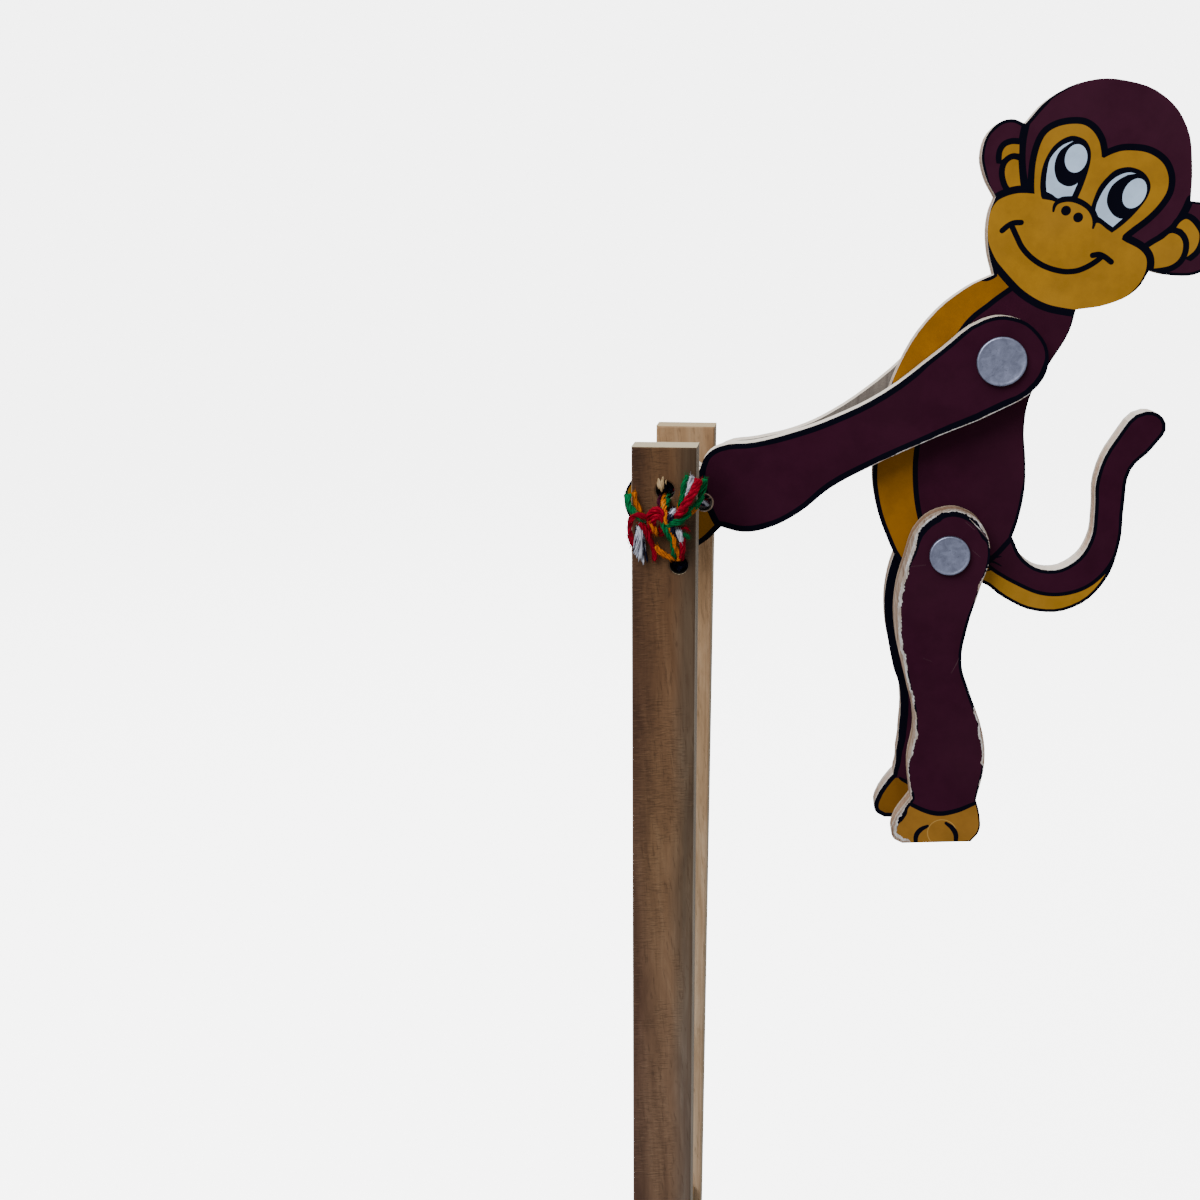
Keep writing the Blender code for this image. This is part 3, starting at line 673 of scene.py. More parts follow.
# Face, from the shoulder in millimetres; each outline is a row of smooth stretches
EYE_PATCH = (
    ((7.0, 44.8), (6.8, 47.9), (6.9, 52.3), (7.7, 56.6), (9.2, 59.7), (11.8, 61.4), (15.1, 62.1),
        (18.5, 61.9), (21.0, 60.4), (22.8, 57.9), (23.6, 55.4), (23.9, 53.6)),
    ((24.5, 53.3), (26.3, 54.2), (28.8, 55.0), (31.8, 55.1), (35.2, 54.6), (38.1, 53.2), (40.2, 51.2),
        (41.4, 48.5), (41.6, 45.9), (41.0, 43.6), (39.0, 40.5), (36.3, 37.7), (33.4, 35.4), (31.1, 33.4),
        (30.8, 32.4)),
    ((26.5, 29.4), (9.1, 34.8)),
)
MUZZLE = (
    ((6.9, 44.3), (4.5, 44.5), (2.2, 44.4), (-0.4, 43.7), (-2.7, 42.4), (-4.2, 39.9), (-4.7, 37.0),
        (-4.7, 33.6), (-4.0, 30.7), (-2.1, 27.0), (-0.1, 24.6), (1.9, 22.4), (4.8, 19.5), (7.5, 17.5),
        (10.3, 15.9), (13.1, 14.8), (16.3, 14.1), (19.5, 13.6)),
    ((23.8, 12.6), (30.5, 14.5)),
    ((32.5, 16.6), (34.5, 18.4), (36.0, 20.2), (37.0, 22.1), (37.6, 24.0), (37.7, 26.0), (37.2, 27.7),
        (35.8, 29.3), (33.8, 30.5), (31.9, 31.4), (30.9, 32.0)),
    ((27.4, 35.9), (13.8, 42.6)),
)
LEFT_EYE = (
    ((8.8, 43.6), (8.4, 46.6), (8.6, 50.4), (9.5, 53.5), (11.1, 56.3), (13.3, 58.2), (15.8, 59.1),
        (18.2, 58.6), (19.8, 57.5), (20.9, 55.4), (21.1, 52.8), (20.6, 49.8), (19.6, 46.2), (18.5, 43.2)),
    ((18.5, 42.7), (15.4, 42.3), (13.1, 42.1), (11.5, 42.5), (9.2, 42.9)),
)
LEFT_WHITE = (
    ((10.2, 44.8), (9.9, 47.1), (10.0, 49.9), (10.5, 53.0), (12.0, 55.3), (13.9, 56.9), (16.3, 57.8)),
    ((15.0, 56.9), (13.2, 55.5), (12.2, 53.7), (11.8, 51.4), (12.1, 49.4), (13.0, 47.5), (14.6, 46.4),
        (16.2, 46.1), (17.5, 46.5), (18.2, 47.0)),
    ((16.9, 43.6), (14.6, 43.5), (13.2, 43.1), (11.7, 44.1)),
)
RIGHT_EYE = (
    ((22.1, 40.7), (22.7, 43.0), (23.8, 45.9), (25.7, 48.4), (27.8, 50.2), (30.6, 50.9), (33.0, 50.5),
        (35.1, 49.4), (36.6, 47.5), (37.1, 45.4), (36.4, 42.9), (34.8, 40.4), (32.4, 37.6), (30.0, 35.4),
        (28.0, 33.9)),
    ((26.5, 34.9), (24.9, 36.2), (23.9, 36.5), (23.2, 36.2), (22.5, 38.6)),
)
RIGHT_WHITE = (
    ((23.3, 39.9), (23.6, 41.7), (24.9, 44.8), (26.8, 47.4), (29.0, 48.9), (31.2, 49.5), (33.1, 49.2)),
    ((31.0, 48.9), (28.8, 47.7), (27.1, 46.1), (26.2, 44.0), (26.1, 41.9), (26.8, 40.1), (28.2, 38.4),
        (29.8, 37.6), (30.5, 37.6)),
    ((28.1, 35.4), (26.5, 36.5), (24.9, 37.7), (24.2, 38.1)),
)
EARS = (
    (((-2.1, 53.2), (-2.0, 55.2), (-1.2, 56.6), (0.4, 57.2), (2.3, 57.1)), ((2.4, 54.8), (0.3, 54.7),
        (-1.1, 53.9), (-2.1, 53.2))),
    (((2.3, 53.0), (0.9, 53.3), (-0.4, 52.5), (-1.0, 51.1), (-1.0, 49.3), (-0.3, 47.1), (0.7, 45.6)),
        ((3.4, 45.8), (3.0, 47.9), (2.6, 50.5), (2.3, 53.0))),
    (((44.6, 35.1), (45.4, 36.4), (46.8, 37.3), (48.2, 36.7), (49.6, 35.2), (50.6, 33.4), (50.6, 31.1),
        (49.7, 29.0), (47.8, 27.3)), ((48.2, 29.8), (47.9, 31.9), (47.1, 33.4), (46.1, 34.6),
        (44.6, 35.1))),
    (((37.5, 29.7), (39.4, 31.0), (41.4, 32.2), (43.1, 33.6), (44.7, 33.4), (46.0, 32.4), (46.7, 30.7),
        (46.6, 28.5), (45.7, 26.6), (44.0, 25.3), (41.8, 24.7), (39.2, 24.4)), ((38.9, 26.7), (38.2, 28.5),
        (37.5, 29.7))),
)
NOSE = (
    (12.3, 39.7), (12.5, 41.0), (13.2, 42.0), (14.6, 42.6), (16.4, 42.8), (18.3, 42.4), (20.2, 41.5),
    (21.8, 40.2), (22.9, 38.3), (23.2, 36.5), (23.0, 35.2),
)
NOSTRILS = ((15.6, 39.8), (18.9, 38.0))
NOSTRIL_RADIUS = 1.3
SMILE = (
    (1.6, 35.9), (3.1, 33.0), (4.6, 30.3), (6.9, 27.8), (9.7, 25.8), (12.4, 24.6), (15.1, 23.9),
    (17.2, 23.7), (19.8, 24.0), (22.4, 25.1), (24.4, 26.4), (25.6, 27.4),
)
SMILE_ENDS = (
    ((-0.9, 34.7), (0.6, 36.0), (2.1, 36.7), (4.0, 36.8)),
    ((23.4, 28.0), (25.1, 28.2), (26.7, 27.5), (28.4, 26.2)),
)
GLINTS = ((17.3, 53.3, 2.9, 3.65, 5.0), (33.1, 44.1, 2.9, 4.0, 22.0))
HEAD_SIDES = (
    ((4.4, 65.4), (3.7, 62.3), (3.1, 58.2), (3.1, 53.6), (3.7, 49.2), (4.8, 45.3)),
    ((47.6, 42.5), (46.2, 38.9), (44.0, 35.3), (40.6, 32.4), (37.2, 29.8)),
)
HEAD_AREA = ((-20, 90), (-20, 36), (0, 36), (10, 30), (25, 22), (40, 12), (70, 8), (70, 90))
BELLY_LINE = (
    (3.4, 20.0), (-3.0, 15.1), (-10.0, 8.3), (-18.2, -8.6), (-21.0, -25.0), (-20.9, -36.0), (-19.0, -46.0),
    (-15.0, -57.0),
)
BELLY_BEYOND = ((-45.0, -57.0), (-45.0, 30.0), (3.4, 30.0))
# Width of the black border at places (x, z) from the shoulder; below zero there is none
BODY_BORDER = (
    (-7.3, 56, 0.7), (-1, 63.7, 0.9), (6, 66, 1.0), (12, 70.5, 0.5), (20, 73, -0.4), (29, 73, -0.4),
    (39, 69, -0.4), (45, 61, -0.4), (47.5, 50, -0.4), (53, 41, 0.7), (57, 35, 0.8), (56, 28, 0.8),
    (50, 23, 0.8), (43, 23, 0.8), (36, 19, 0.15), (28, 15, 0.25), (20, 13.5, 0.5), (18, 6, 0.35),
    (12, -5, 0.35), (8, -18, 0.4), (9, -30, 0.5), (8, -42, 0.9), (-4, 38, -0.2), (-4.5, 33, 0.3),
    (-4, 28, 0.9), (-3, 24, 1.0), (-8, 19.5, -0.2), (-18, 12, -0.2), (-26, 0, -0.2), (-31, -15, 1.1),
    (-33, -30, 1.3), (-31, -42, 1.3), (-27, -52, 1.3),
)
# Tail, from the hip in millimetres
TAIL_LINE = (
    (10.0, -2.8), (14.0, -6.0), (19.9, -9.3), (26.8, -12.1), (33.5, -12.2), (40.0, -9.7), (45.1, -4.3),
    (48.2, 3.5),
)
TAIL_BEYOND = ((60.0, 4.0), (60.0, -30.0), (10.0, -30.0))
TAIL_ROOT = ((11.6, -3.4), (14.6, -0.2), (18.4, 4.6))
TAIL_SMUDGES = (
    ((10.6, -1.0), (13.0, -1.8), (15.4, -1.6)),
    ((10.4, -3.4), (13.0, -3.2), (15.6, -4.4)),
    ((10.8, -6.0), (13.4, -5.2)),
)
SMUDGE_WIDTH = 0.6
TAIL_BORDER = (
    (18, 4, 1.0), (24, -4, 1.0), (32, -5, 1.0), (39.5, 3, 1.0), (40.3, 15, 1.0), (46, 34, 1.0),
    (54, 39, 1.0), (53, 28, 1.0), (48.5, 16, 1.0), (47.6, 2, 0.9), (43, -10, 0.9), (33, -17, 0.9),
    (22, -16, 0.9), (12, -10, 1.0), (0, -9, 1.2), (-12, -5, 1.3), (-20, 12, 1.3),
)
# Arm, along its own axis from the string in millimetres
WRIST_LINE = ((15.5, 12.0), (12.4, 9.0), (10.6, 5.6), (9.4, 0.4), (8.9, -4.4), (9.2, -8.9), (9.6, -10.0))
PAW_BEYOND = ((9.6, -30.0), (-30.0, -30.0), (-30.0, 30.0), (15.5, 30.0))
ARM_BORDER = (
    (-14, 0, 0.6), (-10, 9, 0.6), (0, 15, 1.3), (20, 12, 1.5), (50, 6, 1.7), (70, 7, 1.7), (88, 11, 1.2),
    (99, 12, 1.0), (110, 0, 0.9), (105, -10, 1.6), (90, -12, 2.0), (50, -12, 1.8), (30, -17, 1.6),
    (15, -17, 1.8),
)
# Where the arm's print is chipped along its edge
ARM_CHIPS = (
    (0, 15, -0.4), (45, 6, -0.4), (88, 11, -0.4), (110, 0, -0.4), (105, -10, 0.05), (98, -12, 0.2),
    (86, -12, 0.22), (70, -11.2, 0.2), (57, -11.4, 0.12), (46, -12, -0.2), (20, -16, -0.5),
)
CHIP_ROUGHNESS = 0.12
HAND_RING = (8.3, -0.1)
HAND_RING_RADIUS = 2.76
# Leg, from the hip in millimetres
ANKLE_LINE = (
    (-9.8, -74.6), (-8.3, -75.5), (-3.2, -77.8), (1.2, -78.5), (6.0, -77.3), (10.2, -75.2), (13.5, -73.4),
)
FOOT_BEYOND = ((30.0, -74.0), (30.0, -100.0), (-30.0, -100.0), (-30.0, -74.0))
TOES = (
    ((-2.3, -82.6), (-4.3, -83.9), (-5.5, -86.0), (-5.4, -89.5)),
    ((3.0, -81.4), (4.9, -82.9), (6.1, -85.2), (6.0, -89.0)),
)
FRONT_LEG_BORDER = (
    (0, 13, 2.1), (-6, 10.5, 2.9), (-11, 4, 2.8), (-13.3, -5, 2.2), (-14, -14, 1.8), (-13, -30, 1.4),
    (-9, -48, 1.2), (-9, -68, 0.6), (-8.5, -75, 1.4), (-11, -79.5, 2.3), (-12.5, -83, 1.6), (-8, -88, 0.2),
    (0, -88, -0.3), (12, -80, 0.5), (13, -62, 0.7), (8, -42, 0.9), (5, -28, 0.9), (9, -8, 0.5),
    (11, 1, 0.6), (9, 8, 1.8), (5, 12, 2.0),
)
# Depth of the torn edge at places on the front leg; below zero it is whole
FRONT_LEG_TEAR = (
    (0, 13, 0.5), (-6, 10.5, 1.1), (-11, 3, 1.8), (-13.8, -8, 2.1), (-14.4, -18, 2.0), (-13.2, -28, 1.5),
    (-10.8, -38, 1.0), (-8.6, -48, 0.9), (-8.8, -56, 1.2), (-9.1, -66, 0.5), (-8.3, -74, 0.6),
    (-10.8, -79, 1.0), (-12.6, -84, 1.5), (-11.4, -86.5, 2.0), (-9, -88.4, 1.6), (-5, -88.4, -0.6),
    (6, -87, -0.9), (12.6, -80, -0.6), (12, -73, -0.1), (13, -65, 0.2), (13, -60, 0.9), (12.4, -54, 1.3),
    (10, -48, 0.6), (8, -42, -0.3), (5, -34, -0.6), (6, -20, -0.5), (9.5, -8, 0.45), (11, 0, -0.1),
    (8, 9, 0.5), (4, 12.4, 0.5),
)
# Scratches: ink, width and points from the hip
LEG_SCRATCHES = (
    ("torn", 0.35, ((5.6, 11.6), (8.6, 8.6), (11.2, 5.0))),
    ("torn", 0.25, ((5.0, 10.6), (8.0, 7.6), (10.0, 5.2))),
    ("scuffed", 0.3, ((6.4, 9.0), (9.2, 6.2), (11.3, 3.6))),
    ("scuffed", 0.2, ((4.0, 9.6), (6.6, 7.4))),
    ("scuffed", 0.16, ((-11.0, -3.6), (-6.4, -3.0))),
    ("scuffed", 0.14, ((2.2, -35.0), (3.6, -32.0), (4.2, -30.2))),
    ("scuffed", 0.14, ((-6.0, -30.6), (-3.4, -31.6))),
    ("scuffed", 0.14, ((6.2, 1.6), (8.6, -0.4))),
)
FOOT_RING = (2.0, -84.6, 4.1)
FOOT_RING_LINE = 0.22
TEAR_ROUGHNESS = 0.5
BARE_SHARE = 0.5
REAR_LEG_BORDER = (
    (0, 13, 2.4), (-15, -15, 2.8), (-10, -48, 2.4), (-14, -84, 1.4), (0, -88, 0.9), (12, -80, 1.0),
    (7, -30, 1.6),
)
# How much slimmer the rear shin is than its solid: heights from the hip, rising, and depths
REAR_SHIN_TRIM = (
    (-84.0, 0.0), (-79.0, -0.1), (-75.0, -0.4), (-72.5, 0.0), (-69.4, 1.2), (-66.0, 1.8), (-62.0, 2.4),
    (-58.5, 2.1), (-55.0, 1.4), (-51.0, 0.9), (-47.0, 0.8), (-43.0, 0.6), (-39.0, 0.1), (-36.0, 0.0),
)
# Length of the rear leg as a share of its solid's
REAR_LEG_LENGTH = 0.982
# Pen widths, and how much pen lines narrow towards their ends
LINE = 1.5
TAIL_PEN = 1.1
WRIST_PEN = 1.875
NOSE_TAPER = 0.6
ANKLE_TAPER = 0.5
TOE_TAPER = 0.4
SCRATCH_TAPER = 0.7
PATCH_LINE = 1.75
MUZZLE_LINE = 2.0
EAR_LINE = 1.6
SKULL_LINE = 2.1
# Spacing of points along a plate's border, for its black line, for a tear and for the slim shin
BORDER_SPACING = 0.6
TEAR_SPACING = 0.25
SHIN_SPACING = 0.5
# The rear shin is slimmer only where it lies further than this in front of the hip
SHIN_FRONT = 5.0


def smooth_loop(place, stretches):
    """A closed outline from smooth stretches that meet in corners."""
    loop = []
    for stretch in stretches:
        points = from_point(place, stretch)
        loop += curve_through(points) if len(points) > 2 else points
    return [b for a, b in zip([loop[-1], *loop], loop) if (a - b).length > TINY]


def grown(loop, amount):
    return inset(loop, lambda point: -amount)


def fill(layers, ink, loop):
    layers.append((ink, loop, False))


def lined(layers, loop, width, ink):
    """A filled shape with a black line round it."""
    fill(layers, "black", grown(loop, width))
    fill(layers, ink, loop)


def pen(layers, points, width=LINE, taper=0.0):
    fill(layers, "black", stroke(curve_through(points), width, taper))


def placed(place, anchors):
    return [(place.x / MM + x, place.z / MM + z, value) for x, z, value in anchors]


def bordered(loop, anchors):
    return ("black", inset(resampled(loop, BORDER_SPACING), width_map(anchors)), True)


def body_layers(loop):
    """Belly, tail and face."""
    layers = [("plum", from_point(SHOULDER, HEAD_AREA), False)]
    belly = from_point(SHOULDER, BELLY_LINE)
    fill(layers, "amber", [*curve_through(belly), *from_point(SHOULDER, BELLY_BEYOND)])
    tail = from_point(HIP, TAIL_LINE)
    fill(layers, "ochre", [*curve_through(tail), *from_point(HIP, TAIL_BEYOND)])
    pen(layers, belly)
    pen(layers, tail, TAIL_PEN)
    pen(layers, from_point(HIP, TAIL_ROOT))
    for smudge in TAIL_SMUDGES:
        pen(layers, from_point(HIP, smudge), SMUDGE_WIDTH, SCRATCH_TAPER)
    layers.append(bordered(loop, placed(SHOULDER, BODY_BORDER) + placed(HIP, TAIL_BORDER)))
    for line in HEAD_SIDES:
        pen(layers, from_point(SHOULDER, line), SKULL_LINE)
    for stretches in EARS:
        lined(layers, smooth_loop(SHOULDER, stretches), EAR_LINE, "ochre")
    patch = smooth_loop(SHOULDER, EYE_PATCH)
    muzzle = smooth_loop(SHOULDER, MUZZLE)
    fill(layers, "black", grown(patch, PATCH_LINE))
    lined(layers, muzzle, MUZZLE_LINE, "ochre")
    fill(layers, "ochre", patch)
    for eye, white, (x, z, across, up, lean) in zip((LEFT_EYE, RIGHT_EYE), (LEFT_WHITE, RIGHT_WHITE), GLINTS):
        fill(layers, "black", smooth_loop(SHOULDER, eye))
        fill(layers, "white", smooth_loop(SHOULDER, white))
        fill(layers, "white", ellipse(SHOULDER.x / MM + x, SHOULDER.z / MM + z, across, up, lean))
    pen(layers, from_point(SHOULDER, NOSE), LINE, NOSE_TAPER)
    for x, z in from_point(SHOULDER, NOSTRILS):
        fill(layers, "black", ellipse(x, z, NOSTRIL_RADIUS, NOSTRIL_RADIUS))
    for line in (SMILE, *SMILE_ENDS):
        pen(layers, from_point(SHOULDER, line))
    return layers


def plate_loops(node, towards):
    """Border loops of a plate's face; the rear leg's outer one follows its slimmer shin."""
    loops = border_loops(node, towards)
    if node.startswith("rear_leg"):
        slim = inset(resampled(loops[0], SHIN_SPACING), rear_shin_depth)
        hip = HIP.z / MM
        loops[0] = [Vector((p.x, hip + REAR_LEG_LENGTH * (p.y - hip))) for p in slim]
    return loops


def rear_shin_depth(point):
    """How far the rear leg's front edge is set in, at a point in the toy's millimetres."""
    heights, depths = zip(*curve_through(REAR_SHIN_TRIM))
    on_front = point.x < HIP.x / MM - SHIN_FRONT
    return np.interp(point.y - HIP.z / MM, heights, depths) if on_front else 0.0


def chipped(loop, anchors, roughness, ink="torn", share=1.0):
    """Where the print has come off along the plate's edge, or only the outer share of it."""
    depth = width_map(anchors)
    fine = resampled(loop, TEAR_SPACING)
    return (ink, inset(fine, lambda p: share * (depth(p) + roughness * ragged(p))), True)


def arm_layers(loop):
    wrist = from_arm(WRIST_LINE)
    layers = [("amber", [*curve_through(wrist), *from_arm(PAW_BEYOND)], False)]
    pen(layers, wrist, WRIST_PEN)
    layers.append(bordered(loop, on_arm(ARM_BORDER)))
    fill(layers, "bare", ellipse(*from_arm([HAND_RING])[0], HAND_RING_RADIUS, HAND_RING_RADIUS))
    layers.append(chipped(loop, on_arm(ARM_CHIPS), CHIP_ROUGHNESS))
    return layers


def on_arm(anchors):
    places = from_arm([(along, across) for along, across, _ in anchors])
    return [(*place, value) for place, (_, _, value) in zip(places, anchors)]


def leg_layers(loop, border, foot, length, tear=()):
    """Shin, ankle and foot; tear gives how deep the print is torn away along its edge."""
    ankle = from_point(HIP, [(x, length * z) for x, z in ANKLE_LINE])
    layers = [(foot, [*curve_through(ankle), *from_point(HIP, FOOT_BEYOND)], False)]
    if tear:
        x, z, radius = FOOT_RING
        for ink, larger in (("rubbed", FOOT_RING_LINE), (foot, 0.0)):
            ring = ellipse(HIP.x / MM + x, HIP.z / MM + z, radius + larger, radius + larger)
            fill(layers, ink, ring)
    pen(layers, ankle, LINE, ANKLE_TAPER)
    for toe in TOES:
        pen(layers, from_point(HIP, [(x, length * z) for x, z in toe]), LINE, TOE_TAPER)
    layers.append(bordered(loop, placed(HIP, border)))
    if tear:
        layers.append(chipped(loop, placed(HIP, tear), TEAR_ROUGHNESS))
        layers.append(chipped(loop, placed(HIP, tear), TEAR_ROUGHNESS, "bare", BARE_SHARE))
        for ink, width, points in LEG_SCRATCHES:
            fill(layers, ink, stroke(from_point(HIP, points), width, SCRATCH_TAPER))
    return layers


def ragged(point):
    """How unevenly a tear runs, from about -1 to 1."""
    coarse = noise.noise(Vector((point.x * 0.35, point.y * 0.35, 0.0)))
    fine = noise.noise(Vector((point.x * 1.7, point.y * 1.7, 5.0)))
    return coarse + 0.7 * fine


def front_leg_layers(loop):
    return leg_layers(loop, FRONT_LEG_BORDER, "honey", 1.0, FRONT_LEG_TEAR)


def rear_leg_layers(loop):
    # The rear foot is printed in amber darkened as painted shade
    return leg_layers(loop, REAR_LEG_BORDER, "shaded_amber", REAR_LEG_LENGTH)


def add_prints():
    for node, body, towards, draw in (
        ("body_front_print", "trunk", -1, body_layers),
        ("body_back_print", "trunk", 1, body_layers),
        ("front_arm_print", "arms", -1, arm_layers),
        ("rear_arm_print", "arms", 1, arm_layers),
        ("front_leg_print", "front_leg", -1, front_leg_layers),
        ("rear_leg_front_print", "rear_leg", -1, rear_leg_layers),
        ("rear_leg_back_print", "rear_leg", 1, rear_leg_layers),
    ):
        outline = plate_loops(node, towards)[0]
        name = node.replace("_print", "_picture")
        add_piece(name, print_mesh(name, node, towards, draw(outline)), body, [node])


def add_rear_leg():
    """The rear leg's sawn plate with its slimmer shin."""
    low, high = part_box("rear_leg")
    mesh = print_mesh("rear_leg_sawn", "rear_leg", -1, [])
    mesh.materials.clear()
    mesh.materials.append(plywood_material("plywood_rear_leg", low.y, high.y, *PLY_STAINS["rear_leg"]))
    for polygon in mesh.polygons:
        polygon.material_index = 0
    add_piece("rear_leg_sawn", mesh, "rear_leg", ["rear_leg"])


def transport(path):
    """Each point's direction and a side that turns as little as possible along the path."""
    frames = []
    side = Vector((1.0, 0.0, 0.0))
    last = len(path) - 1
    for i in range(len(path)):
        ahead = (path[min(i + 1, last)] - path[max(i - 1, 0)]).normalized()
        side = side - ahead * side.dot(ahead)
        if side.length < TINY:
            side = ahead.orthogonal()
        side.normalize()
        frames.append((ahead, side, ahead.cross(side)))
    return frames


def walk(path):
    """Each point of a path with its distance along it and two directions across it."""
    run = 0.0
    walked = []
    for i, (point, (_, side, up)) in enumerate(zip(path, transport(path))):
        if i:
            run += (point - path[i - 1]).length
        walked.append((run, point, side, up))
    return walked


def spoke(side, up, angle):
    """The direction at an angle round a path."""
    return side * math.cos(angle) + up * math.sin(angle)


# Spun yarn: number of strands, how far out they lie and their radius as shares of the yarn's radius,
# and the least and greatest pitch of their turns in millimetres
YARN_STRANDS = 12
STRAND_REACH = 0.74
STRAND_RADIUS = 0.34
STRAND_PITCH = (6.0, 12.0)
# Stray fibres: number, as a multiple of the square root of the points along a yarn, length and radius
FUZZ_DENSITY = 14
FUZZ_LENGTH = (0.3, 1.6)
FUZZ_RADIUS = (0.025, 0.045)


class YarnMesh:
    """Collects yarn strands and loose fibres into one mesh."""

    def __init__(self):
        self.shape = bmesh.new()
        self.uv = self.shape.loops.layers.uv.new("UVMap")

    def strand(self, path, radius, color, around=6, ends=0.45, shift=0.0):
        """A round strand whose ends narrow; shift gives it streaks of its own."""
        rings = []
        last = len(path) - 1
        for i, (run, point, side, up) in enumerate(walk(path)):
            shrink = ends if i in (0, last) else 1.0
            ring = []
            for k in range(around):
                angle = 2 * math.pi * k / around
                offset = spoke(side, up, angle) * radius * shrink
                ring.append((self.shape.verts.new(point + offset), run, shift + k / around))
            rings.append(ring)
        slot = YARN_ORDER.index(color)
        for a, b in zip(rings, rings[1:]):
            for k in range(around):
                self.quad([a[k - 1], a[k], b[k], b[k - 1]], slot)
        self.quad(list(reversed(rings[0])), slot)
        self.quad(rings[-1], slot)

    def spun(self, path, radius, color, draw, strands=YARN_STRANDS):
        """Loose strands that wind slowly round each other, with stray fibres."""
        walked = walk(path)
        for _ in range(strands):
            start = draw.uniform(0.0, 2 * math.pi)
            reach = radius * STRAND_REACH * draw.random() ** 0.5
            pitch = draw.uniform(*STRAND_PITCH) * MM
            shift = draw.uniform(0.0, 100.0)
            wound = []
            for run, point, side, up in walked:
                angle = start + 2 * math.pi * run / pitch
                sway = 1.0 + 0.5 * noise.noise(Vector((0.4 * run / MM, shift, 0.0)))
                wound.append(point + spoke(side, up, angle) * reach * sway)
            self.strand(wound, radius * STRAND_RADIUS, color, shift=shift)
        self.fuzz(path, radius, color, int(FUZZ_DENSITY * len(path) ** 0.5), draw)

    def quad(self, corners, slot):
        face = self.shape.faces.new([corner[0] for corner in corners])
        face.material_index = slot
        face.smooth = True
        for loop, (_, run, around) in zip(face.loops, corners):
            loop[self.uv].uv = (run / MM, around)

    def fibre(self, path, radius, color):
        self.strand(path, radius, color, around=3, ends=0.3)

    def fuzz(self, path, radius, color, count, draw):
        """Short stray fibres that stand off a strand."""
        frames = transport(path)
        for _ in range(count):
            i = draw.randrange(len(path))
            ahead, side, up = frames[i]
            out = spoke(side, up, draw.uniform(0.0, 2 * math.pi))
            start = path[i] + out * radius * 0.8
            along = ahead * draw.choice((-1.0, 1.0)) * draw.uniform(*FUZZ_LENGTH) * MM
            middle = start + out * draw.uniform(0.15, 0.4) * MM + along * 0.5
            end = middle + out * draw.uniform(-0.25, 0.35) * MM + along * 0.6
            self.fibre([start, middle, end], draw.uniform(*FUZZ_RADIUS) * MM, color)

    def finish(self, name):
        return closed_mesh(self.shape, name, YARNS.values())


# String holes, as in the sticks and hands
STICK_HOLE_REACH = 10.6 * MM
STICK_HOLE_TILT = math.radians(10.5)
REAR_STICK_SKEW = math.radians(0.4)
HAND_HOLE_REACH = 8.2 * MM
STICK_INNER = STICK_HIGH.y
STICK_OUTER = STICK_LOW.y
HAND_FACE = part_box("front_arm_print")[0].y
CROSSBAR_LEVEL = PIVOTS["front_squeeze"].z

